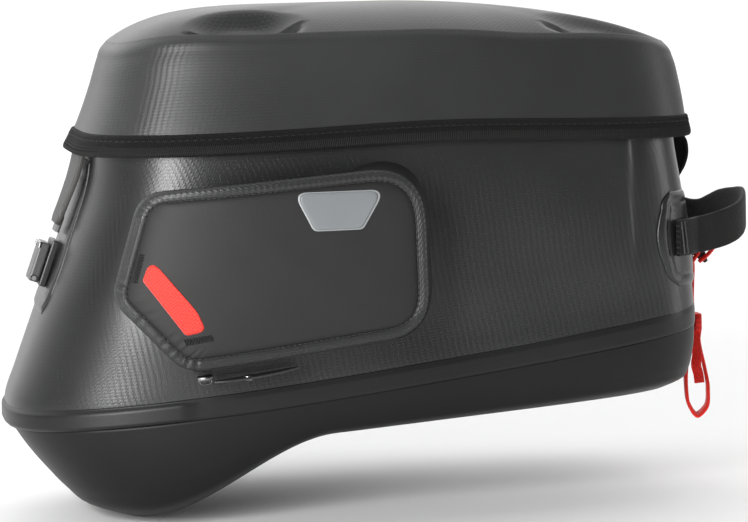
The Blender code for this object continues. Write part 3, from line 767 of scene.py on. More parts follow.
def make_binding():
    columns_per_rib = 4
    fine = AROUND * 12
    rim = outline(*level_sizes(LID_LEVELS, LID_BOX, 0.0), fine)
    top = outline(*level_sizes(LID_LEVELS, LID_BOX, TAPE_HEIGHT / LID_WALL), fine)
    travelled = walked(looped(rim))
    count = int(travelled[-1] / RIB_PITCH) * columns_per_rib
    at = np.linspace(0, travelled[-1], count + 1)[:-1]
    low, high = [sampled(looped(plan), travelled, at) for plan in (rim, top)]
    rib = np.cos(np.arange(count) * 2 * math.pi / columns_per_rib)
    lap = low[:, 0] - LAP_X
    step = np.where(low[:, 1] < 0, smoothstep(1 - np.abs(lap) / (0.8 * MM)), 0)
    rings = []
    for up, out, shows in TAPE_PROFILE:
        plan = low + max(up, 0) * (high - low)
        ring = np.column_stack([plan, rim_z(low[:, 0]) + up * TAPE_HEIGHT])
        stand = (out + shows * (0.2 * rib - 0.5 * step)) * MM
        rings.append(ring + outwards(ring) * stand[:, None])
    length = walked(looped(rings[6]))[-1]
    tape = surface("lid_tape", rings, [grosgrain(length / count * columns_per_rib)], wall=0.5 * MM)
    seat = np.column_stack([low + STITCH_LINE * (high - low),
                            rim_z(low[:, 0]) + STITCH_LINE * TAPE_HEIGHT])
    middles, along, out = closed_path(seat[::4], 4.2 * MM)
    thread = capsules("lid_tape_stitches", middles + out * 1.35 * MM, along, out, 2.9 * MM,
                      0.42 * MM, THREAD)
    for piece in (tape, thread):
        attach(piece, "lid")
    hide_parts("lid_binding")


make_binding()

# ---------------------------------------------------------------- inside and under the base
# A stiff plastic frame lines the mouth and a plastic board stiffens the floor. Four steel screws
# hold a moulded tank-ring adapter with a sliding latch to the underside.


def plastic(name, dark, light, scale=900.0):
    return skin(name, dark, light, scale, 0.32, 0.45, 0.00004)


def metal(name, tone, low=0.2, high=0.36):
    made = Finish(name, low, metallic=1.0)
    grain = made.use(SKIN_GRAIN, made.places, Scale=2400.0)
    made.colours(grain["Patches"], (tone * 0.86,) * 3, (tone, tone, tone * 1.02))
    made.rough(grain["Height"], low, high)
    made.bump(grain["Height"], 0.00001)
    return made.material


BLACK_PLASTIC = plastic("black_plastic_grain", grey(0.013), grey(0.022))
GREY_PLASTIC = plastic("grey_plastic_grain", grey(0.055, 1.0), grey(0.085, 1.0), 1400.0)
STEEL = metal("brushed_steel", 0.62)


def dress(material, *nodes):
    """A CAD piece keeps its shape and gets a finish."""
    for node in nodes:
        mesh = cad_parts[node].data
        mesh.materials.clear()
        mesh.materials.append(material)


dress(BLACK_PLASTIC, "floor_plate", "mouth_frame", "tank_ring_adapter", "buckle_base")
dress(GREY_PLASTIC, "latch_slide", "buckle_lever")
dress(STEEL, "adapter_screw_1", "adapter_screw_2", "adapter_screw_3", "adapter_screw_4")

# ---------------------------------------------------------------- nose closure
# A coated-cloth patch is bonded to the nose with a pressed seam round it. A rubbery tongue sewn to
# the lid hangs in front of it, and a hinged grey buckle with a steel bail catches the tongue.

NOSE_LEAN = math.atan2(32, 86)


def nose_wall(y, z):
    """X of the nose wall at Y and height Z."""
    t = np.clip((MOUTH_Z - z) / (MOUTH_Z - seam_z(-0.25)), 0, 1)
    nose, _, half, power = level_sizes(BODY_LEVELS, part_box("body_shell"), t)
    over = np.clip(np.abs(y) / half, 0, 0.999)
    return SPLIT_X - (SPLIT_X - nose) * (1 - over ** power) ** (1 / power)


def pressed_edge(u, v, rim=0.05, line=0.12):
    """Height of a bonded patch from 0 at its edge to 1 inside, with a pressed line round it.
    u and v run from 0 to 1 across the patch."""
    e = np.minimum(np.minimum(u, 1 - u), np.minimum(v, 1 - v))
    return smoothstep(e / rim) - 0.35 * np.exp(-((e - line) / 0.016) ** 2)


def smooth_path(points, step):
    """A smooth curve through the points, in even steps."""
    points = np.asarray(points, float)
    knots = walked(points)
    at = np.linspace(0, knots[-1], max(int(knots[-1] / step), 4) + 1)
    return np.stack([between(knots, points[:, i], at) for i in range(3)], 1)


def ribbon(name, path, across, half, thick, material, corners=0.35, loop=False):
    """Webbing or a cord: a flat oval carried along a path. across points over its width, and
    corners = 1 makes it round. UV map cloth runs along it and over its width, in metres."""
    path = np.asarray(path, float)
    along = np.roll(path, -1, 0) - np.roll(path, 1, 0) if loop else np.gradient(path, axis=0)
    along = along / np.linalg.norm(along, axis=1)[:, None]
    across = np.broadcast_to(np.asarray(across, float), path.shape)
    across = across - along * (along * across).sum(axis=1)[:, None]
    across = across / np.linalg.norm(across, axis=1)[:, None]
    normal = np.cross(along, across)
    sides = 20
    turn = np.arange(sides) * 2 * math.pi / sides
    w = np.sign(np.cos(turn)) * np.abs(np.cos(turn)) ** corners
    h = np.sign(np.sin(turn)) * np.abs(np.sin(turn)) ** min(2.2 * corners, 1)
    half = np.broadcast_to(np.asarray(half, float), len(path))
    rings = (path[:, None] + (half[:, None] * w)[:, :, None] * across[:, None]
             + (thick / 2 * h)[None, :, None] * normal[:, None])
    rows = len(path)
    r, c = np.meshgrid(np.arange(rows if loop else rows - 1), np.arange(sides), indexing="ij")
    n, m = (c + 1) % sides, (r + 1) % rows
    faces = np.stack([r * sides + c, r * sides + n, m * sides + n, m * sides + c], 2)
    faces = faces.reshape(-1, 4).tolist()
    if not loop:
        faces += [list(range(sides))[::-1], [(rows - 1) * sides + i for i in range(sides)]]
    travelled = np.broadcast_to(walked(path)[:, None], (rows, sides))
    uv = np.stack([travelled, half[:, None] * w], 2).reshape(-1, 2)
    corner = np.concatenate([np.array(face) for face in faces])
    piece = new_piece(name, rings.reshape(-1, 3), faces, [material], uv[corner])
    piece.data.flip_normals()
    piece.data.set_sharp_from_angle(angle=math.radians(60))
    return piece


TONGUE = shell_cloth("tongue_cloth", grey(0.022, 0.96), grey(0.034, 0.96), 0.5, 0.62, 0.0011,
                     0.00006)
TONGUE_EDGE = plastic("cut_edge", (0.04, 0.038, 0.036), (0.065, 0.062, 0.058))
BAIL_STEEL = metal("bail_steel", 0.34)
dress(BAIL_STEEL, "buckle_pin")


def make_nose_patch():
    """The bonded patch behind the buckle, widest just above its lower edge."""
    v, u = np.meshgrid(np.linspace(0, 1, 64), np.linspace(0, 1, 44), indexing="ij")
    z = (146 - 88 * v) * MM
    half = between([0, 0.42, 0.78, 0.92, 1], [21, 27, 31.5, 29.5, 23], v) * MM
    y = (2 * u - 1) * half
    stand = (0.3 + 1.5 * pressed_edge(u, v, 0.05, 0.1)) * MM
    patch = surface("nose_patch", np.stack([nose_wall(y, z) - stand, y, z], 2), [BODY_CLOTH],
                    closed=False, planar_from=0, wall=1.0 * MM, flat=(1, 2))
    facing(patch, (-1, 0, 0))
    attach(patch, "bag")
    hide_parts("front_patch")


def make_tongue():
    """The tongue from the lid's rim, its cut edges, and the grey hook on its lower end."""
    z = np.linspace(150, 109, 40)
    off = between([109, 118, 130, 142, 150], [8.2, 8.0, 7.2, 5.8, 4.4], z)
    path = np.column_stack([nose_wall(0 * z, z * MM) / MM - off, 0 * z, z]) * MM
    width = between([109, 110.5, 118, 134, 150], [11, 13.5, 15.5, 20, 23], z) * MM
    tongue = ribbon("closure_tongue", path, (0, 1, 0), width, 3.2 * MM, TONGUE, 0.12)
    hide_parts("closure_strap")
    low_z = np.linspace(113, 104, 12)
    catch = np.column_stack([nose_wall(0 * low_z, low_z * MM) / MM - 6.4, 0 * low_z, low_z]) * MM
    hook = ribbon("tongue_hook", catch, (0, 1, 0), 10.5 * MM, 2.6 * MM, GREY_PLASTIC, 0.2)
    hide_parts("closure_hook")
    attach(hook, "closure")
    piping = []
    for side in (-1, 1):
        edge = path + np.column_stack([0 * z, side * (width - 0.2 * MM), 0 * z])
        name = f"tongue_edge_{'near' if side < 0 else 'far'}"
        piping.append(ribbon(name, edge, (0, 1, 0), 0.45 * MM, 3.0 * MM, TONGUE_EDGE, 1.0))
    for piece in (tongue, *piping):
        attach(piece, "closure")


def make_bail():
    """The bent steel wire across the top of the buckle's lever."""
    low, high = np.array(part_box("buckle_lever"))
    middle = (low + high) / 2
    up = np.array([math.sin(NOSE_LEAN), 0, math.cos(NOSE_LEAN)])
    out = np.array([-math.cos(NOSE_LEAN), 0, math.sin(NOSE_LEAN)])
    ends = [(8.0, -10.9), (11.0, -10.9), (11.0, 10.9), (8.0, 10.9)]
    spots = [middle + out * 2.9 * MM + up * h * MM + np.array([0, b * MM, 0]) for h, b in ends]
    runs = [np.linspace(spots[i], spots[i + 1], 9)[:-1] for i in range(3)]
    wire = np.concatenate(runs + [spots[3:]])
    bail = ribbon("buckle_bail", wire, out, 0.7 * MM, 1.4 * MM, BAIL_STEEL, 1.0)
    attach(bail, "lever")


make_nose_patch()
make_tongue()
make_bail()

# ---------------------------------------------------------------- side pockets
# Each pocket is a padded panel of coated cloth on a soft gusset. A smoother strip turns over the
# edge between them and is sewn in with a thin thread, with small puckers at the corners. A printed
# reflective patch, a red webbing loop and a zip with a leaf puller are sewn on.

POCKET_CORNERS = ((-203, 132, 19), (-47, 143, 31), (-46, 49, 27), (-184, 33, 20), (-221, 73, 16))
POCKET_MIDDLE = np.array([-128.0, 92.0])
POCKET_POINTS = 320
RIM_INSIDE = -6.0
PANEL_OUT = 25.3
PANEL_CROWN = 2.3
REFLECTOR = ((-121.5, 130.5, 5), (-69.5, 130.5, 5), (-83, 108.8, 4), (-111, 108.8, 4))
ACCENT = ((-205, 84, 2.5), (-200.5, 97, 5), (-176.4, 66.5, 14), (-171.5, 55.5, 4), (-183, 53, 3))
PUCKERS = ((-220, 80), (-214, 62), (-196, 42), (-182, 35), (-40, 56), (-40, 130), (-204, 128))
RIM_JOIN_X = -119
PUCKER_PITCH = 4.6
PUCKER_REACH = 9
SEAM_PITCH = 3.1 * MM
# the rim strip from the sewn seam over the edge: out from the outline, out from the body, pucker
RIM_PROFILE = ((-6.0, 24.3, 0), (-5.8, 25.0, 0), (-5.6, 25.9, 0.3), (-5.1, 26.5, 0.6),
               (-4.0, 26.9, 1.0), (-2.8, 27.0, 1.0), (-1.6, 26.8, 1.0), (-0.6, 26.3, 1.0),
               (0.1, 25.5, 1.0), (0.5, 24.6, 0.8), (0.6, 23.6, 0.5), (0.4, 22.8, 0.3))
# both ends of each bartack
TACKS = (((-209.2, 83.2), (-204.6, 98.4)), ((-183.6, 49.6), (-169.2, 51.8)))
TACK_WIDTH = 3.6
TACK_STITCHES = 19


def rounded(corners, count):
    """A closed loop of points, in X and Z, through straight sides and quadratic corner arcs."""
    ends = np.array([c[:2] for c in corners], float)
    loop = []
    for i, (x, z, radius) in enumerate(corners):
        here = np.array([x, z], float)
        back = unit(ends[i - 1] - here)
        ahead = unit(ends[(i + 1) % len(ends)] - here)
        cut_back = radius / math.tan(math.acos(np.dot(back, ahead)) / 2)
        t = np.linspace(0, 1, 24)[:, None]
        loop.append((1 - t) ** 2 * (here + back * cut_back) + 2 * t * (1 - t) * here
                    + t ** 2 * (here + ahead * cut_back))
    loop = looped(np.concatenate(loop))
    travelled = walked(loop)
    return sampled(loop, travelled, np.linspace(0, travelled[-1], count + 1)[:-1])


def grown(loop, grow):
    """The loop moved outwards by grow along its own normals."""
    along = np.roll(loop, -1, 0) - np.roll(loop, 1, 0)
    normal = np.column_stack([-along[:, 1], along[:, 0]])
    normal /= np.linalg.norm(normal, axis=1)[:, None]
    side = np.sign((normal * (loop - loop.mean(axis=0))).sum(axis=1).sum())
    return loop + side * normal * np.reshape(grow, (-1, 1))


def body_side(x, z):
    """Half width of the body wall at X and height Z, all in metres."""
    t = np.clip((MOUTH_Z - z) / (MOUTH_Z - seam_z(x)), 0, 1)
    nose, end, half, power = level_sizes(BODY_LEVELS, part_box("body_shell"), t)
    front = x < SPLIT_X
    ratio = np.where(front, (SPLIT_X - x) / (SPLIT_X - nose), (x - SPLIT_X) / (end - SPLIT_X))
    power = np.where(front, power, END_POWER)
    return half * (1 - np.clip(ratio, 0, 0.999) ** power) ** (1 / power)


def on_pocket(plan, out, side):
    """Points in X and Z, in millimetres, at a distance out from the body wall."""
    plan = plan * MM
    y = body_side(plan[..., 0], plan[..., 1]) + np.asarray(out) * MM
    return np.stack([plan[..., 0], side * y, plan[..., 1]], -1)


POCKET_LOOP = rounded(POCKET_CORNERS, POCKET_POINTS)


def puckers(loop, width):
    """Creases across the edge of the pocket, in millimetres, strongest at its corners."""
    travelled = np.cumsum(np.hypot(*(loop - np.roll(loop, 1, 0)).T))
    spots = np.array(PUCKERS, float)
    near = sum(np.exp(-((np.hypot(*(loop - spot).T)) / PUCKER_REACH) ** 2) for spot in spots)
    wave = np.sin(travelled * 2 * math.pi / PUCKER_PITCH + 1.5 * np.sin(travelled * 0.31))
    return -width * near * np.clip(wave, -0.2, 1) ** 2


def panel_out(plan):
    """The panel's stand-off: a padded swell that falls steeply to the seam round it."""
    inner = grown(POCKET_LOOP, RIM_INSIDE) - POCKET_MIDDLE
    heading = np.arctan2(inner[:, 1], inner[:, 0])
    order = np.argsort(heading)
    away = plan - POCKET_MIDDLE
    edge = np.interp(np.arctan2(away[..., 1], away[..., 0]), heading[order],
                     np.hypot(*inner[order].T), period=2 * math.pi)
    s = np.clip(np.hypot(away[..., 0], away[..., 1]) / edge, 0, 1)
    swell = 0.35 * (1 - s ** 2) + 0.65 * (1 - s ** 22)
    x, z = plan[..., 0], plan[..., 1]
    ripple = 0.16 * np.sin(x * 0.11 + 1.0) * np.sin(z * 0.17 + x * 0.05)
    return PANEL_OUT + PANEL_CROWN * swell + ripple * (1 - s ** 4)


POCKET_CLOTH = shell_cloth("pocket_cloth", (0.008, 0.0079, 0.0078), (0.0145, 0.0143, 0.0141), 0.5,
                           0.62, 0.001, 0.00004, specular=0.42)
RIM_CLOTH = shell_cloth("pocket_rim_cloth", grey(0.011), grey(0.024), 0.32, 0.44, 0.0017, 0.0001)
GUSSET_CLOTH = shell_cloth("gusset_cloth", grey(0.006), grey(0.013), 0.5, 0.65, 0.0012, 0.00009)


def film(name, dark, light, rough):
    """Reflective film: an even grey under a very fine grain."""
    made = Finish(name, rough, specular=0.6)
    grain = made.use(SKIN_GRAIN, made.places, Scale=2600.0)
    made.colours(grain["Patches"], dark, light)
    made.bump(grain["Height"], 0.00003)
    return made.material


def red_weave(name, dark, light):
    made = Finish(name, 0.62, specular=0.35, sheen=0.2)
    return woven(made, dark, light, 0.0015, 1200.0, 0.75, 0.0002, 0.15, 0.75)


FILM = film("reflective_print", (0.17, 0.182, 0.19), (0.21, 0.223, 0.23), 0.42)
FILM_BORDER = film("reflective_border", (0.29, 0.303, 0.31), (0.34, 0.353, 0.36), 0.4)
ACCENT_RED = red_weave("red_webbing_bright", (0.70, 0.012, 0.008), (0.95, 0.055, 0.038))
STRAP_RED = red_weave("red_webbing_deep", (0.55, 0.006, 0.003), (0.92, 0.02, 0.008))


def laid_patch(name, corners, lift, thick, materials, side, start=1.0, stop=0.0, turn=0.0):
    """A flat piece sewn on the pocket panel: rings from its rounded outline towards its middle."""
    loop = rounded(corners, 96)
    middle = loop.mean(axis=0)
    rings = []
    for s in np.linspace(start, max(stop, 0.06), 16):
        plan = middle + s * (loop - middle)
        rise = thick * smoothstep((start - s) / 0.06 + 0.15)
        rings.append(on_pocket(plan, panel_out(plan) + lift + rise, side))
    piece = surface(name, rings, materials, fan=stop == 0.0, planar_from=0, flat=(0, 2), turn=turn,
                    wall=0.25 * MM)
    return facing(piece, (0, side, 0))


def zigzag(start, stop, side, lift=0.35):
    """A bartack: stitches that lean to and fro between two points on the pocket panel."""
    start, stop = np.array(start, float), np.array(stop, float)
    along = unit(stop - start)
    over = np.array([-along[1], along[0]])
    k = np.linspace(0, 1, TACK_STITCHES)[:, None]
    spots = start + k * (stop - start)
    lean = np.where(np.arange(TACK_STITCHES) % 2, 1, -1)[:, None] * along * 0.28
    reach = over * TACK_WIDTH / 2 + lean
    ends = [on_pocket(spots + f * reach, panel_out(spots) + lift, side) for f in (1, -1)]
    return (ends[0] + ends[1]) / 2, ends[0] - ends[1]


def make_pocket(side, word):
    """Rim strip, gusset and padded panel: three skins that meet along the seam and the edge."""
    rings = []
    for grow, out, share in RIM_PROFILE:
        plan = grown(POCKET_LOOP, grow)
        join = np.exp(-((plan[:, 0] - RIM_JOIN_X) / 0.5) ** 2) * (plan[:, 1] < 70)
        depth = puckers(POCKET_LOOP, 1.3) * share - 0.5 * join * share
        rings.append(on_pocket(plan, out + depth, side))
    rim = surface(f"pocket_rim_{word}", rings, [RIM_CLOTH], wall=0.8 * MM)
    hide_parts(f"pocket_binding_{word}")
    rings = []
    for k in np.linspace(0, 1, 16):
        foot = -4.0 + 12.0 * smoothstep((POCKET_LOOP[:, 0] + 105) / 60)
        grow = 0.2 + foot * k ** 1.5 - 1.2 * math.sin(math.pi * k)
        plan = grown(POCKET_LOOP, grow + 2.0 * puckers(POCKET_LOOP, 0.8) * math.sin(math.pi * k))
        rings.append(on_pocket(plan, 23.6 * (1 - k) - 0.6, side))
    gusset = surface(f"pocket_side_{word}", rings, [GUSSET_CLOTH], wall=0.8 * MM)
    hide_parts(f"pocket_gusset_{word}")
    inner = grown(POCKET_LOOP, RIM_INSIDE + 0.1)
    rings = []
    for s in 1 - np.linspace(0, 0.985, 70) ** 1.5:
        plan = POCKET_MIDDLE + s * (inner - POCKET_MIDDLE)
        lift = puckers(POCKET_LOOP, 0.5) * smoothstep((s - 0.86) / 0.1)
        rings.append(on_pocket(plan, panel_out(plan) + lift, side))
    panel = surface(f"pocket_face_{word}", rings, [POCKET_CLOTH, LINING], fan=True, planar_from=0,
                    flat=(0, 2), wall=2.0 * MM)
    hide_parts(f"pocket_panel_{word}")
    facing(rim, (0, side, 0))
    facing(panel, (0, side, 0))
    if side > 0:
        flip(gusset)
    for piece in (rim, gusset, panel):
        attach(piece, "bag")


def trim_pocket(side, word):
    """What is sewn or printed on the pocket: seam thread, film, red loop and its bartacks."""
    seam = on_pocket(grown(POCKET_LOOP, RIM_INSIDE + 0.3), PANEL_OUT + 0.35, side)
    seam = looped(seam)
    travelled = walked(seam)
    at = np.arange(0, travelled[-1], SEAM_PITCH)
    middles = sampled(seam, travelled, at)
    along = sampled(seam, travelled, at + 0.5 * MM) - middles
    out = np.tile([0.0, side, 0.0], (len(at), 1))
    thread = capsules(f"pocket_stitches_{word}", middles, along, out, 2.3 * MM, 0.3 * MM,
                      SEAM_THREAD)
    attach(thread, "bag")
    mark = laid_patch(f"reflector_{word}", REFLECTOR, 0.12, 0.28, [FILM], side, 0.955)
    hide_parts(f"reflective_patch_{word}")
    border = laid_patch(f"reflector_border_{word}", REFLECTOR, 0.1, 0.3, [FILM_BORDER], side, 1.0,
                        0.95)
    for piece in (mark, border):
        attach(piece, "bag")
    slant = math.atan2(ACCENT[1][1] - ACCENT[3][1], ACCENT[1][0] - ACCENT[3][0])
    loop = laid_patch(f"red_loop_{word}", ACCENT, -0.2, 1.1, [ACCENT_RED], side, turn=-slant)
    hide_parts(f"accent_loop_{word}")
    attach(loop, "bag")
    tacks = [zigzag(*ends, side) for ends in TACKS]
    middles = np.concatenate([tack[0] for tack in tacks])
    along = np.concatenate([tack[1] for tack in tacks])
    out = np.tile([0.0, side, 0.0], (len(middles), 1))
    thread = capsules(f"red_loop_bartacks_{word}", middles, along, out, 3.7 * MM, 0.42 * MM, THREAD)
    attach(thread, "bag")


SEAM_THREAD = tape_cloth("grey_thread", (0.02, 0.02, 0.02), (0.12, 0.12, 0.12))


ZIP_SLOPE = (47.2 - 34.0) / 113.0
ZIP_RUN = unit([1, 0, ZIP_SLOPE])


def make_zip(side, word):
    """The zip in the lower gusset: its tape and teeth, which stay on the bag."""
    low, high = np.array(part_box(f"pocket_zip_{word}"))
    y = (low[1] + high[1]) / 2
    x = np.linspace(low[0], high[0], 60)
    z = low[2] + 2.8 * MM + ZIP_SLOPE * (x - low[0])
    line = np.column_stack([x, y + side * (body_side(x, z) - body_side(x[30], z[30])), z])
    tape = ribbon(f"zip_tape_{word}", line, (0, 1, 0), 5.2 * MM, 1.1 * MM, GUSSET_CLOTH, 0.2)
    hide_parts(f"pocket_zip_{word}")
    count = int((high[0] - low[0]) / (1.5 * MM))
    k = np.linspace(0.02, 0.98, count)
    middles = sampled(line, np.linspace(0, 1, 60), k)
    middles[:, 1] += np.where(np.arange(count) % 2, 0.5, -0.5) * MM
    middles[:, 2] -= 0.75 * MM
    over = np.tile([0.0, 1.0, 0.0], (count, 1))
    down = np.tile([0.0, 0.0, 1.0], (count, 1))
    teeth = capsules(f"zip_teeth_{word}", middles, over, down, 2.8 * MM, 0.6 * MM, BLACK_PLASTIC)
    for piece in (tape, teeth):
        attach(piece, "bag")


def make_slider(word):
    """The slider with its bridge, which runs along the teeth."""
    low, high = np.array(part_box(f"zip_slider_{word}"))
    middle = (low + high) / 2
    path = middle + np.linspace(-4.2, 4.2, 14)[:, None] * MM * ZIP_RUN
    taper = between([0, 0.2, 0.75, 1], [2.2, 3.3, 4.2, 3.2], np.linspace(0, 1, 14)) * MM
    slider = ribbon(f"slider_{word}", path, (0, 1, 0), taper, 3.0 * MM, DARK_STEEL, 0.35)
    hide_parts(f"zip_slider_{word}")
    bridge = [(-3, -1.2), (-2, -3.1), (0.5, -3.6), (3.4, -3.1), (4.4, -1.2)]
    spots = [middle + ZIP_RUN * a * MM + np.array([0, 0, b * MM]) for a, b in bridge]
    path = smooth_path(spots, 0.4 * MM)
    bar = ribbon(f"slider_bridge_{word}", path, (0, 1, 0), 0.9 * MM, 0.9 * MM, DARK_STEEL, 0.6)
    for piece in (slider, bar):
        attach(piece, f"slider_{word}")


def make_puller(word):
    """The leaf-shaped puller and its rivet, hinged on the slider."""
    low, high = np.array(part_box(f"zip_puller_{word}"))
    y = (low[1] + high[1]) / 2
    start = np.array([low[0], y, low[2] + 0.9 * MM])
    length = high[0] - low[0]
    k = np.linspace(0, 1, 60)
    sag = 0.8 * MM * np.sin(math.pi * k)
    path = start + np.column_stack([k * length, 0 * k, ZIP_SLOPE * k * length - sag])
    width = between([0, 0.08, 0.25, 0.6, 0.85, 1], [1.8, 3.4, 4.6, 4.6, 3.6, 1.4], k) * MM
    leaf = ribbon(f"puller_{word}", path, (0, 1, 0), width, 1.6 * MM, TONGUE, 0.3)
    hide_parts(f"zip_puller_{word}")
    at = path[24]
    rise = np.linspace(-1.7, 1.7, 8)[:, None] * MM * np.array([0, 0, 1])
    dome = np.sqrt(np.clip(1 - (np.linspace(-1, 1, 8)) ** 6, 0.05, 1)) * 2.6 * MM
    rivet = ribbon(f"puller_rivet_{word}", at + rise, (0, 1, 0), dome, 5.2 * MM, STEEL, 1.0)
    for piece in (leaf, rivet):
        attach(piece, f"puller_{word}")


DARK_STEEL = metal("black_nickel", 0.22, 0.25, 0.4)
SIDES = ((-1, "near"), (1, "far"))
for side, word in SIDES:
    make_pocket(side, word)
    trim_pocket(side, word)
    make_zip(side, word)
    make_slider(word)
    make_puller(word)

# ---------------------------------------------------------------- handle end
# A six-sided patch is bonded round each corner with a line pressed inside its edge. The webbing
# grab handle is sewn on them with two rows of thread. Above it a wide black strap hinges the lid.


def corner_place(z, angle, side, out):
    """Points round the handle-end corner at height z, at angles of the outline, out from it."""
    t = (MOUTH_Z - z) / (MOUTH_Z - seam_z(0.125))
    _, end, half, _ = level_sizes(BODY_LEVELS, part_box("body_shell"), t)
    x = SPLIT_X + (end + out - SPLIT_X) * np.cos(angle) ** (2 / END_POWER)
    return np.stack([x, side * (half + out) * np.sin(angle) ** (2 / END_POWER), z + 0 * x], -1)


WEBBING = woven(Finish("black_webbing", 0.7, specular=0.2, sheen=0.03), (0.004, 0.004, 0.004),
                (0.015, 0.0147, 0.0144), 0.0016, 1300.0, 0.6, 0.00014)
# where the handle is sewn on, and its half span, reach and rise between the two ends, in millimetres
STRAP_Z = 92 * MM
HANDLE_SPAN = 76
HANDLE_REACH = 36.5
HANDLE_RISE = 9
# height, then the angles of its inner and outer edge in degrees
PATCH_ROWS = ((119, 17, 42), (115.5, 12, 46.5), (108, 10, 50), (92, 9, 54), (77, 9.5, 52),
              (66.5, 12, 47), (63, 17, 42))


def make_corner_patches():
    """A bonded patch round each handle-end corner, its outline given row by row as angles."""
    table = np.array(PATCH_ROWS, float)[::-1]
    v, u = np.meshgrid(np.linspace(0, 1, 60), np.linspace(0, 1, 60), indexing="ij")
    z = 63 + 56 * v
    inner = between(table[:, 0], table[:, 1], z)
    outer = between(table[:, 0], table[:, 2], z)
    angle = np.radians(inner + u * (outer - inner))
    stand = (0.3 + 0.9 * pressed_edge(u, v, 0.05, 0.12)) * MM
    for side, word in SIDES:
        grid = corner_place(z * MM, angle, side, stand)
        patch = surface(f"corner_patch_{word}", grid, [BODY_CLOTH], closed=False, planar_from=0,
                        flat=(1, 2), wall=0.8 * MM)
        facing(patch, (1, side, 0))
        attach(patch, "bag")
        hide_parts(f"handle_patch_{word}")


def make_handle():
    """The grab handle: sewn flat on both patches, bowed out and a little uneven between them."""
    z = STRAP_Z
    lie = corner_place(np.full(4, z), np.radians([45.5, 40, 35, 29]), -1, 3.9 * MM)
    near = np.concatenate([lie, np.array([[127.5, -80.5, 92], [133.0, -78.2, 92.4]]) * MM])
    turn = np.linspace(-math.pi / 2, math.pi / 2, 19)
    bow = np.abs(np.cos(turn)) ** 0.8
    y = HANDLE_SPAN * np.sin(turn)
    sag = 4 * np.exp(-((y + 40) / 26) ** 2) - 9 * np.exp(-((y - 44) / 26) ** 2)
    loop = np.column_stack([139 + HANDLE_REACH * bow, y, 92.6 + HANDLE_RISE * bow + sag]) * MM
    path = smooth_path(np.concatenate([near, loop, near[::-1] * (1, -1, 1)]), 1.3 * MM)
    handle = ribbon("grab_handle", path, (0, 0, 1), 10.8 * MM, 3.2 * MM, WEBBING, 0.25)
    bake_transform(handle)
    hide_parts("handle_strap", "handle_anchor_near", "handle_anchor_far")
    count = 12
    for side, word in SIDES:
        heights = np.tile(z + np.linspace(-8.6, 8.6, count) * MM, 2)
        angle = np.radians(np.repeat([44.2, 41.4], count))
        middles = corner_place(heights, angle, side, 5.6 * MM)
        up = np.tile([0.0, 0.0, 1.0], (len(middles), 1))
        out = corner_place(heights, angle, side, 6.6 * MM) - middles
        thread = capsules(f"handle_stitches_{word}", middles, up + out * 120, out, 2.0 * MM,
                          0.42 * MM, SEAM_THREAD)
        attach(thread, "bag")


def make_hinge():
    """The wide strap that hinges the lid: from the body wall, bowed out, up into the binding."""
    fold = [(128, 112), (129.5, 117), (132, 124), (135.4, 130), (137.8, 138), (137.2, 145),
            (133.8, 150), (130.5, 153)]
    path = smooth_path([(x * MM, 0, z * MM) for x, z in fold], 1.0 * MM)
    half = between([0.112, 0.118, 0.150], [30.5, 34, 35], path[:, 2]) * MM
    hinge = ribbon("hinge_cloth", path, (0, 1, 0), half, 2.2 * MM, TAPE, 0.1)
    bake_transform(hinge)
    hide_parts("hinge_strap")


make_corner_patches()
make_handle()
make_hinge()

# ---------------------------------------------------------------- release strap
# A narrow red webbing strap hangs from a moulded keeper and ends in a sewn loop, with its tail
# folded back inside. A stiff black leaf tab and a short red loop hang on the keeper.


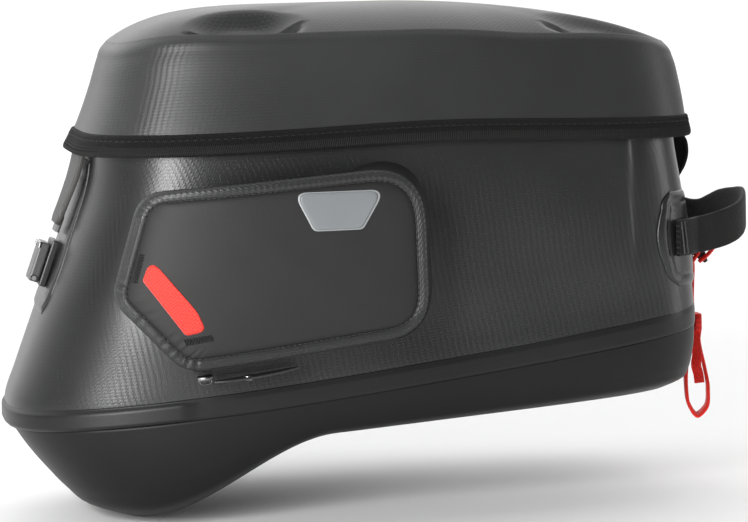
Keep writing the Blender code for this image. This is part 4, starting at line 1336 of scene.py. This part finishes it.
def make_keeper():
    """The keeper on the bag, with the leaf tab and the short red loop that hang on it."""
    low, high = np.array(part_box("strap_keeper"))
    middle = (low + high) / 2
    y = middle[1]
    path = np.array([middle + (0, 0, k * 5.9 * MM) for k in (-1, -0.85, -0.4, 0.4, 0.85, 1)])
    half = np.array([10.4, 11.8, 12, 12, 11.8, 10.4]) * MM
    keeper = ribbon("keeper", path, (0, 1, 0), half, 7.6 * MM, BLACK_PLASTIC, 0.3)
    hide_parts("strap_keeper")
    leaf = [(138.5, 83), (142, 79.5), (146, 75), (149.5, 70.5)]
    path = smooth_path([(a * MM, y - 4 * MM, b * MM) for a, b in leaf], 0.5 * MM)
    half = between([0, 0.25, 0.6, 1], [2.2, 4.4, 4.2, 1.2], np.linspace(0, 1, len(path))) * MM
    tab = ribbon("leaf_tab", path, (0.55, -0.75, 0.35), half, 1.5 * MM, TONGUE, 0.3)
    cord = [(139, 70), (142.5, 75), (147, 81), (151.5, 84), (153.5, 80.5), (150.5, 76), (144, 71)]
    path = smooth_path([(a * MM, y - 7 * MM, b * MM) for a, b in cord], 0.5 * MM)
    loop = ribbon("short_red_loop", path, (0, 1, 0), 1.3 * MM, 2.4 * MM, STRAP_RED, 1.0)
    for piece, slot in ((keeper, "black_plastic"), (tab, "black_plastic"), (loop, "red_webbing")):
        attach(piece, "bag")
    return y


def make_release(y):
    """The red strap: upper run, hanging loop, folded tail and the wrap that holds them at y."""
    route = [(139.5, 78), (141.2, 70), (140.9, 58), (140.6, 48), (141.4, 36), (142.2, 28)]
    path = smooth_path([(a * MM, y, b * MM) for a, b in route], 0.8 * MM)
    upper = ribbon("release_webbing", path, (0, 1, 0), 5 * MM, 2.0 * MM, STRAP_RED, 0.3)
    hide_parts("release_strap")
    route = [(142.6, 33), (140.4, 22), (137.8, 8), (136.7, -6), (138.3, -17.5), (143.4, -23.8),
             (148.8, -19.5), (150.6, -8), (149.0, 6), (146.4, 19), (144.6, 33)]
    spots = [(a * MM, y + 1.5 * MM * math.sin(b * 0.09), b * MM) for a, b in route]
    path = smooth_path(spots, 0.8 * MM)
    hanging = ribbon("release_loop_webbing", path, (0.25, 1, 0.1), 5 * MM, 2.2 * MM, STRAP_RED, 0.3)
    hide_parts("release_loop")
    route = [(143.4, 30), (142.6, 22), (143.6, 14), (142.8, 7), (144.2, 1), (144.8, -4)]
    path = smooth_path([(a * MM, y - 2.5 * MM, b * MM) for a, b in route], 0.7 * MM)
    tail = ribbon("folded_tail", path, (0.9, -0.35, 0.1), 3.1 * MM, 2.0 * MM, STRAP_RED, 0.3)
    path = np.array([(143.5 * MM, y, (33.5 + k * 5.2) * MM) for k in (-1, -0.8, 0.8, 1)])
    half = np.array([5.6, 6.2, 6.2, 5.6]) * MM
    wrap = ribbon("strap_wrap", path, (0, 1, 0), half, 5.4 * MM, STRAP_RED, 0.3)
    for piece in (upper, hanging, tail, wrap):
        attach(piece, "release")


make_release(make_keeper())
